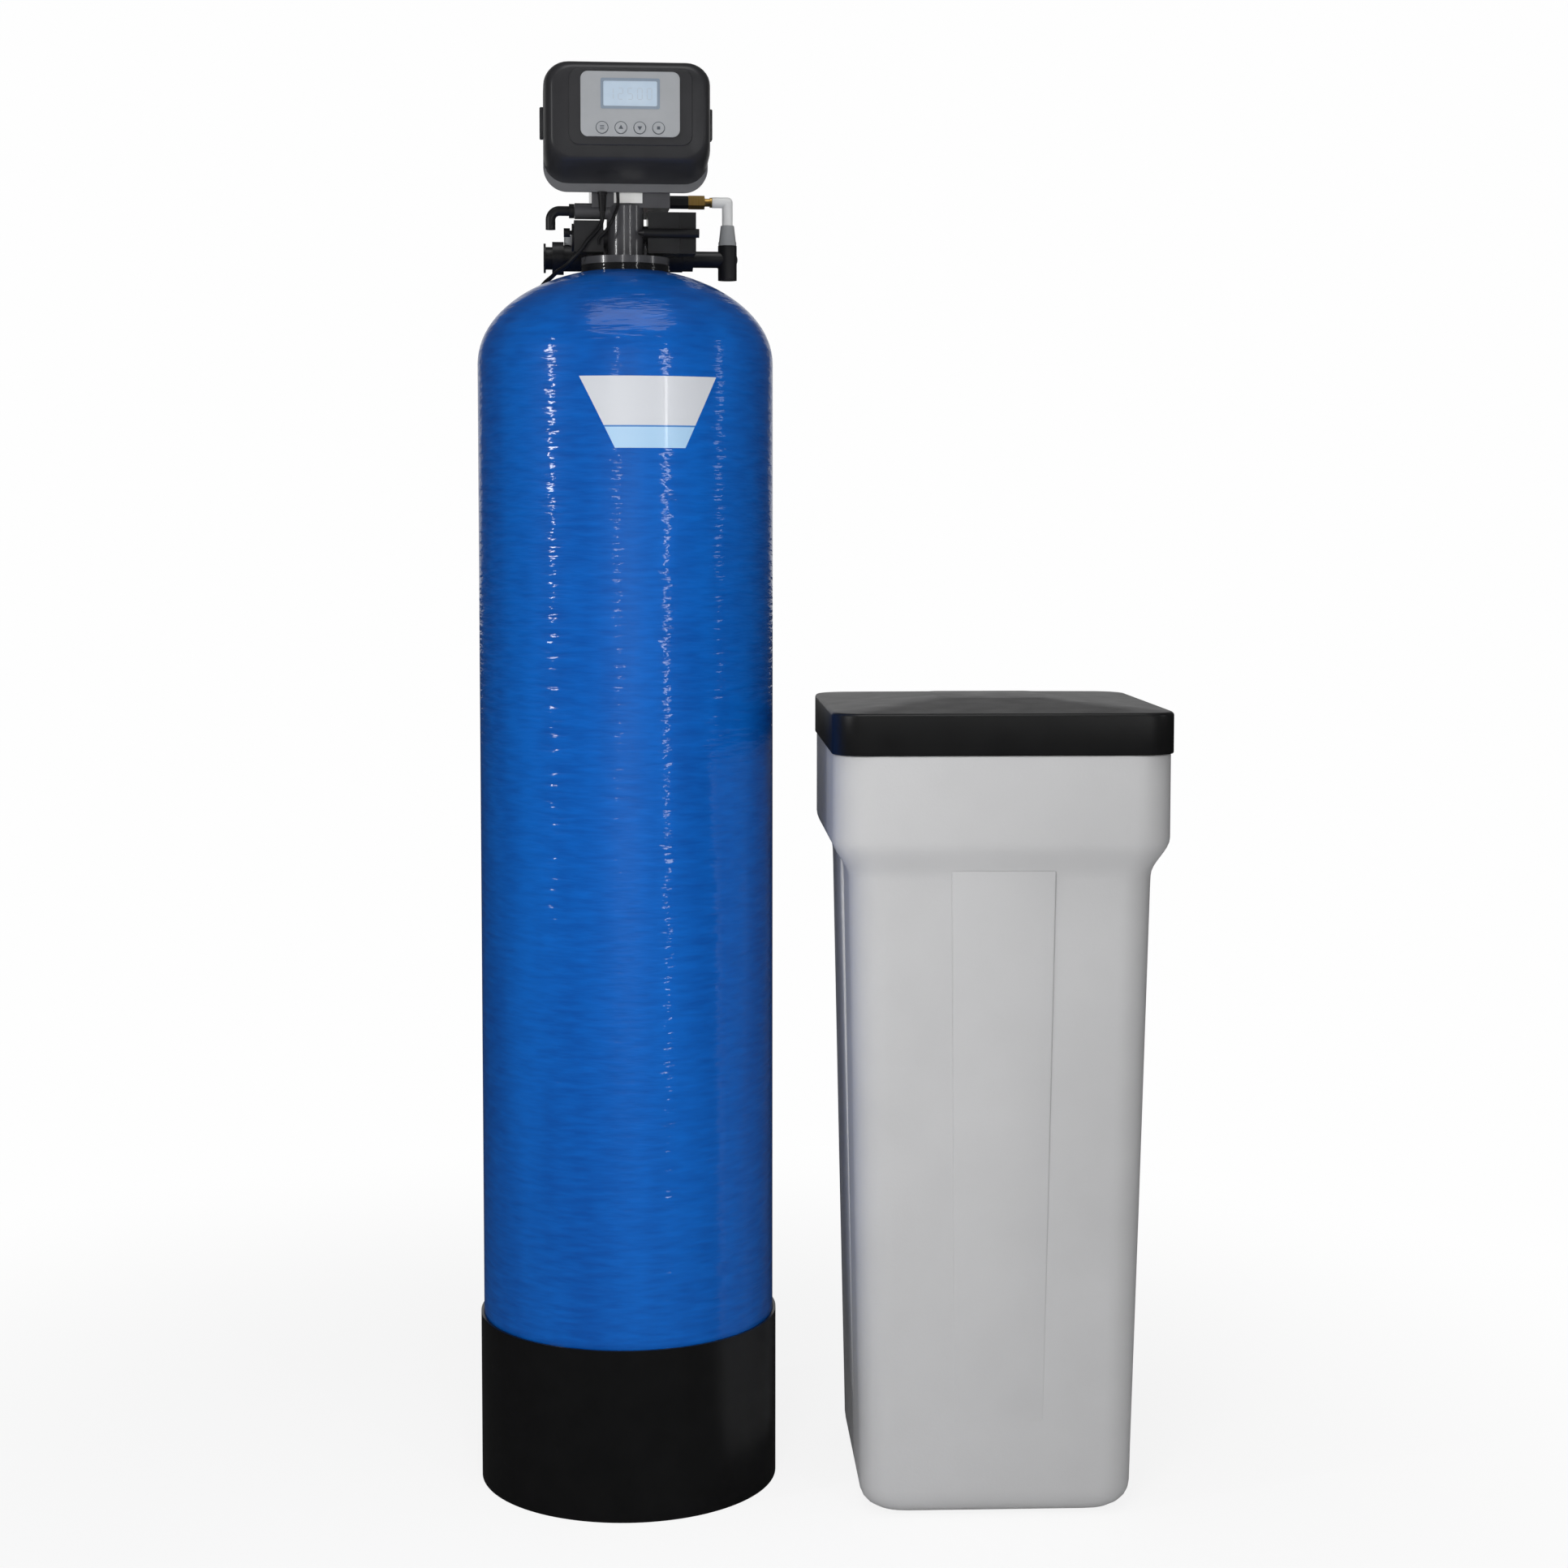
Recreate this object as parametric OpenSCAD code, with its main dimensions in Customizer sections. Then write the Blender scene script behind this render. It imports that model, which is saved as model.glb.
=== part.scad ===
// Metered water softener: resin tank with control valve, and a square brine tank beside it.
// Millimetres. Origin at the centre of the resin tank's foot, +Z up, front towards -Y.

/* [Resin tank] */
// Outside diameter of the tank
tank_d = 334; // [300:1:380]
// Wall of the tank
tank_wall = 6; // [4:0.5:9]
// Height of the neck's top face above the floor
tank_h = 1390; // [1200:5:1700]
// Height of each domed end
dome_h = 108; // [95:1:125]
// Outside diameter of the neck ring
neck_d = 100; // [92:1:110]
// Diameter of the opening in the neck
neck_bore_d = 64; // [60:0.5:68]
// Drop from the neck's top face to the crown of the dome
crown_drop = 3; // [1:0.5:5]

/* [Foot boot] */
// Height of the boot
boot_h = 193; // [150:1:240]
// Wall of the boot
boot_wall = 3; // [2:0.25:5]
// Floor of the boot
boot_floor = 4; // [3:0.5:8]
// Gap between the tank and the boot's wall
boot_gap = 0.5; // [0.3:0.1:1]
// Gap between the bottom of the tank and the boot's floor
boot_lift = 2; // [1:0.5:6]
// Inner radius of the ring that carries the tank
seat_in = 60; // [45:1:70]
// Outer radius of the ring that carries the tank
seat_out = 90; // [80:1:110]

/* [Tank label] */
// Width of the label's upper edge
label_top_w = 150; // [100:1:170]
// Width of the label's lower edge
label_low_w = 77; // [50:1:95]
// Height of the label
label_h = 77; // [50:1:110]
// Drop from the neck's top face to the label's upper edge
label_drop = 132; // [125:1:300]
// Turn of the label about the tank's axis
label_turn = 10; // [-20:1:20]
// Thickness of the label
label_t = 0.4; // [0.2:0.1:1]

/* [Tank fill] */
// Outside diameter of the riser tube
riser_d = 27; // [22:0.5:32]
// Wall of the riser tube
riser_wall = 3; // [2:0.25:4]
// Outside diameter of both baskets
basket_d = 60; // [50:1:62]
// Height of the lower basket
basket_h = 90; // [60:1:120]
// Height of the upper basket
upper_basket_h = 60; // [40:1:90]
// Wall of both baskets
basket_wall = 3; // [2:0.25:5]
// Width of the strainer slots
basket_slot = 2; // [1:0.25:3]
// Height of the gravel's surface above the floor
gravel_top = 165; // [150:5:220]
// Height of the resin's surface above the floor
resin_top = 1000; // [600:10:1150]

/* [Valve body] */
// Turn of the control head about the tank's axis
head_turn = 3; // [-15:1:15]
// Diameter of the front column
column_d = 42; // [38:1:46]
// Height of the column above the neck
column_h = 66; // [64:1:70]
// Height of the neck flange
flange_h = 8; // [6:0.5:9]
// Depth of the threaded neck inside the tank
thread_h = 35; // [25:1:50]
// Wall of the threaded neck
thread_wall = 5; // [4:0.25:7]
// Reach of the shoulder to the left
shoulder_left = 38; // [34:1:42]
// Reach of the shoulder to the right
shoulder_right = 50; // [46:1:54]
// Diameter of the horizontal barrel
barrel_d = 68; // [64:1:72]
// Wall of the barrel
barrel_wall = 6; // [4:0.5:8]
// Height of the barrel's axis above the neck
barrel_z = 132; // [128:1:140]
// Distance from the tank's axis to the barrel's front end
barrel_front = 14; // [12:0.5:16]
// Distance from the tank's axis to the barrel's rear end
barrel_back = 104; // [100:1:130]
// Distance of the two rear ports from the middle
port_x = 28; // [26:1:34]
// Height of the rear ports above the neck
port_z = 24; // [22:1:28]
// Diameter of the rear ports
port_d = 26; // [20:0.5:27]
// Bore of the rear ports
port_bore = 18; // [12:0.5:19]

/* [Piston and gears] */
// Diameter of the piston
piston_d = 34; // [28:1:38]
// Length of the piston
piston_len = 50; // [40:1:52]
// Diameter of the piston rod
rod_d = 16; // [12:0.5:17]
// Stroke of the piston
stroke = 32; // [20:1:34]
// Diameter of the drive cap's boss that the main gear turns on
boss_d = 24; // [22:0.5:26]
// Module of the gears
gear_module = 1; // [0.9:0.05:1.05]
// Teeth on the main gear
main_teeth = 60; // [52:1:62]
// Teeth on the idler's small gear
idler_small = 14; // [13:1:16]
// Teeth on the idler's large gear
idler_large = 28; // [26:1:30]
// Teeth on the motor pinion
pinion_teeth = 20; // [18:1:22]
// Face width of the gears
gear_w = 6; // [4:0.5:6]
// Diameter of the idler's pin
idler_pin_d = 5; // [4:0.25:6]
// Diameter of the motor
motor_d = 24; // [20:1:26]
// Length of the motor
motor_len = 32; // [24:1:34]

/* [Control head] */
// Width of the head
cover_w = 184; // [178:1:196]
// Height of the cover's rear edge above the neck
cover_z0 = 89; // [82:1:92]
// Height of the head's top above the neck
cover_z1 = 216; // [212:1:225]
// Depth of the cover
cover_depth = 75; // [72:1:95]
// Wall of the cover
cover_wall = 2.5; // [2:0.25:3.5]
// Corner radius of the head
cover_r = 27; // [20:1:34]
// Width of the cover's front face
face_w = 164; // [150:1:172]
// Lower edge of the front face above the neck
face_z0 = 109; // [104:1:112]
// Upper edge of the front face above the neck
face_z1 = 205; // [203:1:209]
// Height of the back plate's lower edge above the neck
plate_z0 = 80; // [74:1:82]
// Thickness of the back plate
plate_t = 6; // [5:0.5:7]

/* [Display and buttons] */
// Width of the display panel
panel_w = 108; // [100:0.5:120]
// Height of the display panel
panel_h = 70; // [66:0.5:72]
// Sideways offset of the display from the middle
panel_x = 2; // [-8:0.5:8]
// Lower edge of the panel above the neck
panel_z0 = 130; // [128:0.5:132]
// Thickness of the panel
panel_t = 2; // [1.5:0.25:3]
// Width of the screen
lcd_w = 60; // [50:0.5:68]
// Height of the screen
lcd_h = 28.5; // [24:0.5:31]
// Lower edge of the screen above the panel's lower edge
lcd_rise = 32; // [29:0.5:33]
// Diameter of the buttons
button_d = 12; // [8:0.5:14]
// Spacing of the buttons
button_pitch = 20.5; // [18.5:0.5:23]
// Height of the buttons above the panel's lower edge
button_rise = 9.5; // [9:0.5:12]
// Travel of the buttons
button_travel = 1.2; // [0.5:0.1:1.4]

/* [Side blocks] */
// Distance of the blocks' front faces before the tank's axis
block_front = 18; // [14:0.5:19]
// Distance of the blocks' rear faces behind the tank's axis
block_back = 20; // [18:0.5:22]
// Distance from the middle to the inner faces of the blocks
block_in = 25; // [24:0.5:27]
// Length of the injector housing
injector_len = 36; // [32:1:42]
// Length of the injector cap
injector_cap_len = 18; // [15:1:24]
// Height of the injector housing
injector_h = 46; // [42:0.5:47]
// Diameter of the injector nozzle
nozzle_d = 16; // [12:0.5:18]
// Diameter of the clip bar
clip_d = 10; // [6:0.5:12]
// Bore of the brine line port
brine_port_d = 9.6; // [8:0.1:11]
// Length of the meter housing
meter_len = 33; // [30:1:38]
// Height of the meter housing
meter_h = 35; // [33:0.5:36]
// Diameter of the meter turbine
turbine_d = 26; // [20:0.5:28]
// Diameter of the turbine's shaft
turbine_pin_d = 3; // [2:0.25:4]
// Outside diameter of the drain elbow
drain_d = 11; // [9:0.5:13]
// Height of the drain elbow above the neck
drain_z = 61; // [60:0.5:63]
// Reach of the drain elbow to the left
drain_x = 84; // [78:1:92]
// Length of the drain elbow's downward leg
drain_drop = 21; // [16:1:28]

/* [Bypass and lines] */
// Distance of the bypass behind the tank's axis
bypass_y = 92; // [90:1:96]
// Height of the bypass above the neck
bypass_z = 17; // [14:0.5:19]
// Outside diameter of the bypass tube
bypass_d = 30; // [26:0.5:31]
// Bore of the bypass tube
bypass_bore = 20; // [14:0.5:21]
// Left end of the bypass tube
bypass_left = 76; // [75:1:86]
// Right end of the bypass tube
bypass_right = 70; // [66:1:74]
// Diameter of the handle stems
stem_d = 14; // [10:0.5:15]
// Length of the bypass handles
handle_len = 26; // [18:1:27]
// Length of the inlet union past the tube
inlet_len = 15; // [12:1:24]
// Diameter of the inlet's socket
inlet_d = 22; // [21:0.5:23]
// Diameter of the inlet union's end flange
inlet_flange_d = 34; // [30:1:36]
// Diameter of the blend knob
knob_d = 13; // [10:0.5:14]
// Distance of the blend knob from the middle
knob_x = 61; // [59:0.5:62]
// Distance of the outlet tee from the middle
tee_x = 123; // [116:1:130]
// Diameter of the outlet tee
tee_d = 22; // [20:0.5:24]
// Bore of the outlet tee
tee_bore = 16; // [12:0.5:17]
// Reach of the outlet behind the tee's axis
outlet_len = 28; // [24:1:40]
// Diameter of the outlet's socket
outlet_d = 18; // [16:0.5:19]
// Depth of the outlet tee below the neck
tee_drop = 7; // [5:0.5:12]
// Height of the outlet tee above the neck
tee_rise = 33; // [31:0.5:35]
// Height of the refill line above the neck
refill_z = 83; // [80:0.5:86]
// Diameter of the pale refill elbow
refill_d = 12.4; // [10:0.2:13]

/* [Brine tank] */
// Distance of the brine tank's middle to the right
brine_x = 410; // [400:1:500]
// Distance of the brine tank's middle to the back
brine_y = -20; // [-40:1:40]
// Width of the collar
collar_w = 370; // [360:1:384]
// Step inwards from the collar to the body on each side
flare_in = 18; // [12:0.5:22]
// Draw of the body from its top to its foot on each side
body_draw = 15.5; // [7:0.5:19]
// Wall of the brine tank
brine_wall = 4; // [3:0.25:5]
// Corner radius of the body
brine_r = 36; // [30:1:44]
// Rounding of the lower edge
foot_r = 32; // [24:1:38]
// Height of the top of the body, where the flare starts
body_h = 719; // [690:1:750]
// Height of the flare
flare_h = 38; // [28:1:44]
// Height of the collar up to the lid
collar_h = 94; // [80:1:110]
// Height of the rim inside the lid
rim_h = 40; // [34:1:41]
// Width of the raised panels at their top
rib_w = 114; // [90:1:130]
// Height of the raised panels over the body at their top
rib_rise = 3; // [2:0.25:5]

/* [Brine tank lid] */
// Reach of the lid past the collar on each side
lid_over = 1.5; // [0.5:0.25:4]
// Wall of the lid
lid_wall = 3; // [2.5:0.25:3.5]
// Height of the lid's skirt
skirt_h = 45; // [43:0.5:50]
// Rise of the lid's middle above its skirt
lid_rise = 9; // [6:0.5:16]
// Width of the flat middle of the lid
crown_w = 126; // [100:1:180]

/* [Brine tank inside] */
// Outside diameter of the brine well
well_d = 104; // [96:1:106]
// Wall of the brine well
well_wall = 4; // [3:0.25:5]
// Depth of the brine well's top below the tank's rim
well_drop = 56; // [50:1:76]
// Distance of the well from the brine tank's middle
well_off = 60; // [54:1:61]
// Height of the salt platform
platform_z = 150; // [130:1:200]
// Thickness of the salt platform
platform_t = 4; // [3:0.5:6]
// Diameter of the float
float_d = 32; // [24:1:36]
// Height of the float
float_h = 40; // [30:1:60]
// Height of the float's lower stop above the floor
float_z = 300; // [250:1:350]
// Diameter of the float rod
float_rod_d = 6; // [5:0.25:8]
// Diameter of the pickup pipe
pickup_d = 12; // [9:0.5:14]
// Depth of the overflow below the top of the body
overflow_below = 54; // [44:1:129]
// Diameter of the overflow spigot
overflow_d = 18; // [14:0.5:20]

/* [Leads] */
// Diameter of the power lead
lead_d = 5; // [4:0.25:6]
// Diameter of the meter lead
meter_lead_d = 3.6; // [3:0.2:4]

/* [Hidden] */
$fn = 64;

// Gap between pieces that seat on each other, between pieces that pass, and of a running shaft
seat = 0.2;
loose = 0.3;
run = 0.05;
// Overrun of a cut past the face it opens
cut = 1;

// Resin tank
tank_r = tank_d / 2;
tank_in_r = tank_r - tank_wall;
dome_in_h = dome_h - tank_wall;
neck_r = neck_d / 2;
neck_bore_r = neck_bore_d / 2;
tank_z0 = boot_floor + boot_lift;
low_z = tank_z0 + dome_h;
high_z = tank_h - crown_drop - dome_h;
boot_r = tank_r + boot_gap + boot_wall;
dome_steps = 20;

// Tank fill
riser_r = riser_d / 2;
basket_r = basket_d / 2;
basket_z = low_z - dome_in_h * sqrt(1 - pow(basket_r / tank_in_r, 2)) + seat;
basket_plate = 8;
riser_grip = 25;
riser_top = 40;
slot_count = 16;

// Valve body
column_r = column_d / 2;
thread_r = neck_bore_r - loose;
thread_bore_r = thread_r - thread_wall;
barrel_r = barrel_d / 2;
barrel_bore_r = barrel_r - barrel_wall;
barrel_end = 6;
shoulder_z0 = column_h - 2;
shoulder_z1 = barrel_z - barrel_r + 6;
port_r = port_d / 2;
port_block_y0 = block_back + 0.6;
port_block_t = 22;
port_block_y1 = block_back + port_block_t;
port_run = 40;
port_out = 13;
port_end = max(block_back + port_run, neck_r + port_out);
seal_r = 2.5;
seal_ring_r = thread_r + 4.5;
drain_r = drain_d / 2;
drain_boss_x = 57;
drain_boss_r = drain_r + 3.5;
drain_bend = 10;
flow_bore_r = riser_r + seat;

// Head, with y positions counted from the tank's axis
cap_flange = 4;
cap_plug = 8;
plate_back = -(barrel_front + cap_flange);
plate_front = plate_back - plate_t;
gear_a = plate_front - 3;
gear_b = gear_a - gear_w - 1;
bracket_back = gear_b - gear_w - 3;
bracket_t = 3;
bracket_front = bracket_back - bracket_t;
post_r = 4;
bracket_in = 30;
bracket_left = bracket_in - cover_w / 2;
hub_t = 1.5;
boss_r = boss_d / 2;
rod_r = rod_d / 2;
piston_r = piston_d / 2;
piston_y0 = cap_plug - barrel_front + 10;
rod_front = gear_a - gear_w - hub_t - 4 - stroke;
spacer_y0 = -barrel_front + cap_plug + 0.5;
spacer_y1 = barrel_back - barrel_end - 0.5;
main_dir = 45;
pinion_dir = 40;
main_reach = gear_module * (main_teeth + idler_small) / 2;
pinion_reach = gear_module * (idler_large + pinion_teeth) / 2;
idler_x = main_reach * cos(main_dir);
idler_z = barrel_z + main_reach * sin(main_dir);
pinion_x = idler_x + pinion_reach * cos(pinion_dir);
pinion_z = idler_z + pinion_reach * sin(pinion_dir);
bracket_side = 26;
bracket_above = 22;
bracket_right = pinion_x + bracket_side;
bracket_z0 = barrel_z - bracket_side;
bracket_z1 = pinion_z + bracket_above;
idler_pin_r = idler_pin_d / 2;
motor_shaft_r = 1.5;
motor_shaft_len = 8;

// Cover and display
cover_rear = plate_front - seat;
face_y = cover_rear - cover_depth;
pad_t = 2;
pad_left = 17;
pad_right = 12;
lip_t = 2;
lip_depth = 4;
latch_w = 4;
latch_z0 = 136;
latch_z1 = 170;
panel_back = face_y - pad_t;
panel_front = panel_back - panel_t;
panel_r = 8;
board_gap = 8;
board_front = panel_back + board_gap;
board_t = 1.6;
button_r = button_d / 2;
button_z = panel_z0 + button_rise;
button_proud = 1.2;
button_lip = 1.2;

// Side blocks
block_mid_y = (block_back - block_front) / 2;
injector_x1 = block_in + injector_len;
injector_x2 = injector_x1 + seat + injector_cap_len;
injector_lift = 5;
injector_z0 = flange_h + injector_lift;
nozzle_r = nozzle_d / 2;
nozzle_len = 30;
nozzle_z = injector_z0 + injector_h - nozzle_r - 7;
clip_r = clip_d / 2;
clip_rise = 22;
clip_z = injector_z0 + clip_rise;
brine_port_r = brine_port_d / 2;
brine_port_z = injector_z0 + 11;
brine_port_len = 14;
socket_r = 9;
meter_lift = 6;
meter_z0 = flange_h + meter_lift;
meter_mid_z = meter_z0 + meter_h / 2;
meter_x1 = block_in + meter_len;
turbine_r = turbine_d / 2;
chamber_r = turbine_r + 0.6;
chamber_x0 = block_in + 5;
meter_plug = 3;
meter_flange_t = 2;
turbine_pin_r = turbine_pin_d / 2;
turbine_pin_len = 2.3;

// Bypass and refill line
bypass_r = bypass_d / 2;
stem_r = stem_d / 2;
handle_y = bypass_y + bypass_r + 5;
handle_t = 8;
knob_r = knob_d / 2;
knob_stem_r = 3;
knob_h = 11;
tee_r = tee_d / 2;
tee_arm_r = 9.5;
union_h = 23;
refill_r = refill_d / 2;
socket_len = 27;
nipple_x0 = shoulder_right + socket_len;
nipple_hex_len = 19;
nipple_hex_r = 8;
elbow_x0 = tee_x - 18;
socket_hex_r = 7.6;

// Brine tank
body_top_w = collar_w - 2 * flare_in;
body_low_w = body_top_w - 2 * body_draw;
lid_w = collar_w + 2 * lid_over;
lid_gap = 1;
collar_z = body_h + flare_h;
skirt_z = collar_z + collar_h + seat;
rim_top = collar_z + collar_h + rim_h;
rim_w = lid_w - 2 * lid_wall - 2 * lid_gap;
lid_edge = skirt_z + skirt_h;
lid_r = 37;
lid_roof = rim_top + seat;
foot_steps = 4;
rib_fade_z = 110;
rib_low_w = 100;
rib_edge = 1.5;
corner_steps = 6;
well_top = rim_top - well_drop;
well_r = well_d / 2;
well_in_r = well_r - well_wall;
cap_rise = 4;
cap_skirt = 20;
pickup_r = pickup_d / 2;
pickup_off = 20;
spider_drop = 30;
spider_z = well_top - spider_drop;
spider_t = 5;
vent_off = 28;
vent_r = 12;
float_r = float_d / 2;
float_rod_r = float_rod_d / 2;
overflow_z = body_h - overflow_below;
overflow_r = overflow_d / 2;
overflow_x = -95;
overflow_drop = 34;
line_r = 6.5;
grommet_wall = 2.5;
line_hole_r = line_r + grommet_wall + seat;
line_z = collar_z + collar_h / 2;

function body_w(z) = body_low_w + (body_top_w - body_low_w) * (z - foot_r) / (body_h - foot_r);

// Points along a quarter-ellipse arc with half-axes a and b, from one angle to another
function ellipse_arc(a, b, from, to, z0, side) =
    [for (i = [0:dome_steps]) let (t = from + (to - from) * i / dome_steps)
        [a * cos(t), z0 + side * b * sin(t)]];

module rounded(w, h, r) {
    square([w - 2 * r, h], center = true);
    square([w, h - 2 * r], center = true);
    for (x = [-1, 1], y = [-1, 1])
        translate([x * (w / 2 - r), y * (h / 2 - r)]) circle(r);
}

module box(x0, x1, y0, y1, z0, z1) {
    translate([x0, y0, z0]) cube([x1 - x0, y1 - y0, z1 - z0]);
}

module rod_x(x0, x1, y, z, r) {
    translate([x0, y, z]) rotate([0, 90, 0]) cylinder(h = x1 - x0, r = r);
}

module rod_y(y0, y1, x, z, r) {
    translate([x, y0, z]) rotate([-90, 0, 0]) cylinder(h = y1 - y0, r = r);
}

// Upright rounded pane from y - t to y
module pane(y, t, x, w, z0, z1, r) {
    translate([x, y, (z0 + z1) / 2]) rotate([90, 0, 0]) linear_extrude(t) rounded(w, z1 - z0, r);
}

// Frame of the control head: origin on the tank's axis at the neck's top face
module head() {
    translate([0, 0, tank_h]) rotate([0, 0, head_turn]) children();
}

module brine() {
    translate([brine_x, brine_y, 0]) children();
}

// Ring of upright strainer slots through a basket's wall
module strainer_slots(z, h) {
    for (i = [0:slot_count - 1])
        rotate([0, 0, i * 360 / slot_count])
            box(basket_r - 2 * basket_wall, basket_r + cut, -basket_slot / 2, basket_slot / 2, z, z + h);
}

// Involute gear outline with one tooth centred on the angle phase
pressure = 25;
backlash = 0.16;
addendum = 0.9;
dedendum = 1.2;
function involute(r, base) = let (a = acos(min(1, base / r))) tan(a) * 180 / PI - a;
function polar(r, a) = [r * cos(a), r * sin(a)];
function gear_points(n, phase) =
    let (pitch_r = n * gear_module / 2,
        base = pitch_r * cos(pressure),
        tip = pitch_r + addendum * gear_module,
        root = pitch_r - dedendum * gear_module,
        start = max(base, root) + 0.01,
        half = 90 / n - backlash / 2 / pitch_r * 180 / PI + involute(pitch_r, base),
        flank = [start, (start + tip) / 2, tip])
    [for (i = [0:n - 1]) let (mid = phase + i * 360 / n)
        for (p = concat(
            [polar(root, mid - half + involute(start, base))],
            [for (r = flank) polar(r, mid - half + involute(r, base))],
            [for (k = [2:-1:0]) polar(flank[k], mid + half - involute(flank[k], base))],
            [polar(root, mid + half - involute(start, base))])) p];

// Gear in the head's upright plane, from y - gear_w to y
module gear(n, phase, x, z, y) {
    translate([x, y, z]) rotate([90, 0, 0]) linear_extrude(gear_w) polygon(gear_points(n, phase));
}

// Tube of a lead, swept along its points without twist
function unit(v) = v / norm(v);
function tangents(p) = [for (i = [0:len(p) - 1]) unit(p[min(i + 1, len(p) - 1)] - p[max(i - 1, 0)])];
function carried(t, i, u) =
    i == len(t) ? [] : let (v = unit(u - (u * t[i]) * t[i])) concat([v], carried(t, i + 1, v));
function between(a, b, c, d, t) = 0.5 * (2 * b + (c - a) * t + (2 * a - 5 * b + 4 * c - d) * t * t
    + (3 * b - a - 3 * c + d) * t * t * t);
function smoothed(p, steps) = let (n = len(p) - 1) concat([for (i = [0:n - 1]) for (k = [0:steps - 1])
    between(p[max(i - 1, 0)], p[i], p[i + 1], p[min(i + 2, n)], k / steps)], [p[n]]);
module lead(route, d, sides, steps) {
    p = smoothed(route, steps);
    t = tangents(p);
    u = carried(t, 0, [0.3, 0.9, 0.2]);
    n = len(p);
    points = [for (i = [0:n - 1]) for (k = [0:sides - 1]) let (a = k * 360 / sides)
        p[i] + d / 2 * (cos(a) * u[i] + sin(a) * cross(t[i], u[i]))];
    walls = [for (i = [0:n - 2]) for (k = [0:sides - 1]) let (m = (k + 1) % sides, a = i * sides)
        for (f = [[a + k, a + sides + k, a + m], [a + m, a + sides + k, a + sides + m]]) f];
    ends = [for (k = [1:sides - 2]) for (f = [[0, k, k + 1],
        [(n - 1) * sides, (n - 1) * sides + k + 1, (n - 1) * sides + k]]) f];
    polyhedron(points, concat(walls, ends));
}

// Resin tank and its fill
module tank_shell() {
    neck_a = acos(neck_r / tank_r);
    bore_a = acos(neck_bore_r / tank_in_r);
    color("#0459b8") rotate_extrude() polygon(concat(
        ellipse_arc(tank_r, dome_h, 90, 0, low_z, -1),
        ellipse_arc(tank_r, dome_h, 0, neck_a, high_z, 1),
        [[neck_r, tank_h], [neck_bore_r, tank_h]],
        ellipse_arc(tank_in_r, dome_in_h, bore_a, 0, high_z, 1),
        ellipse_arc(tank_in_r, dome_in_h, 0, 90, low_z, -1)));
}

module tank_base() {
    seat_from = acos(seat_out / tank_r);
    seat_to = acos(seat_in / tank_r);
    wall_in = boot_r - boot_wall;
    color("#141414") rotate_extrude() polygon(concat(
        [[0, 0], [boot_r, 0], [boot_r, boot_h], [wall_in, boot_h], [wall_in, boot_floor],
            [seat_out, boot_floor]],
        ellipse_arc(tank_r, dome_h, seat_from, seat_to, low_z - seat, -1),
        [[seat_in, boot_floor], [0, boot_floor]]));
}

module tank_label() {
    top = tank_h - label_drop;
    reach = tank_r + label_t + cut;
    color("white") rotate([0, 0, label_turn]) intersection() {
        difference() {
            cylinder(h = tank_h, r = tank_r + run + label_t, $fn = 128);
            translate([0, 0, -cut]) cylinder(h = tank_h + 2 * cut, r = tank_r + run, $fn = 128);
        }
        rotate([90, 0, 0]) linear_extrude(reach) polygon([[-label_low_w / 2, top - label_h],
            [label_low_w / 2, top - label_h], [label_top_w / 2, top], [-label_top_w / 2, top]]);
    }
}

module gravel_bed() {
    side = tank_in_r - seat;
    floor_h = dome_in_h - seat;
    hole = basket_r + seat;
    inner = riser_r + seat;
    top = basket_z + basket_h + seat;
    color("#b8ab94") rotate_extrude() polygon(concat(
        [[inner, gravel_top], [inner, top], [hole, top]],
        ellipse_arc(side, floor_h, acos(hole / side), 0, low_z, -1),
        [[side, gravel_top]]));
}

module resin_bed() {
    color("#c08a3a") translate([0, 0, gravel_top]) difference() {
        cylinder(h = resin_top - gravel_top, r = tank_in_r - seat);
        translate([0, 0, -cut]) cylinder(h = resin_top, r = riser_r + seat);
    }
}

module riser_tube() {
    z0 = basket_z + basket_h - riser_grip;
    z1 = tank_h + riser_top;
    color("#e6e6e0") translate([0, 0, z0]) difference() {
        cylinder(h = z1 - z0, r = riser_r);
        translate([0, 0, -cut]) cylinder(h = z1 - z0 + 2 * cut, r = riser_r - riser_wall);
    }
}

module lower_basket() {
    color("#d8d8d2") translate([0, 0, basket_z]) difference() {
        cylinder(h = basket_h, r = basket_r);
        translate([0, 0, basket_wall])
            cylinder(h = basket_h - basket_plate - basket_wall, r = basket_r - basket_wall);
        translate([0, 0, basket_h - basket_plate - cut])
            cylinder(h = basket_plate + 2 * cut, r = riser_r + run);
        strainer_slots(2 * basket_wall, basket_h - basket_plate - 4 * basket_wall);
    }
}

module upper_basket() {
    collar = 10;
    color("#d8d8d2") translate([0, 0, tank_h - thread_h - upper_basket_h]) difference() {
        union() {
            cylinder(h = upper_basket_h - seat, r = basket_r);
            cylinder(h = upper_basket_h + collar, r = thread_bore_r - seat);
        }
        translate([0, 0, basket_wall]) cylinder(h = upper_basket_h + collar, r = thread_bore_r - basket_wall);
        translate([0, 0, -cut]) cylinder(h = upper_basket_h, r = riser_r + seat);
        strainer_slots(2 * basket_wall, upper_basket_h - 4 * basket_wall);
    }
}

module neck_seal() {
    color("#101010") head() rotate_extrude() translate([seal_ring_r, seal_r]) circle(seal_r);
}

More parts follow.
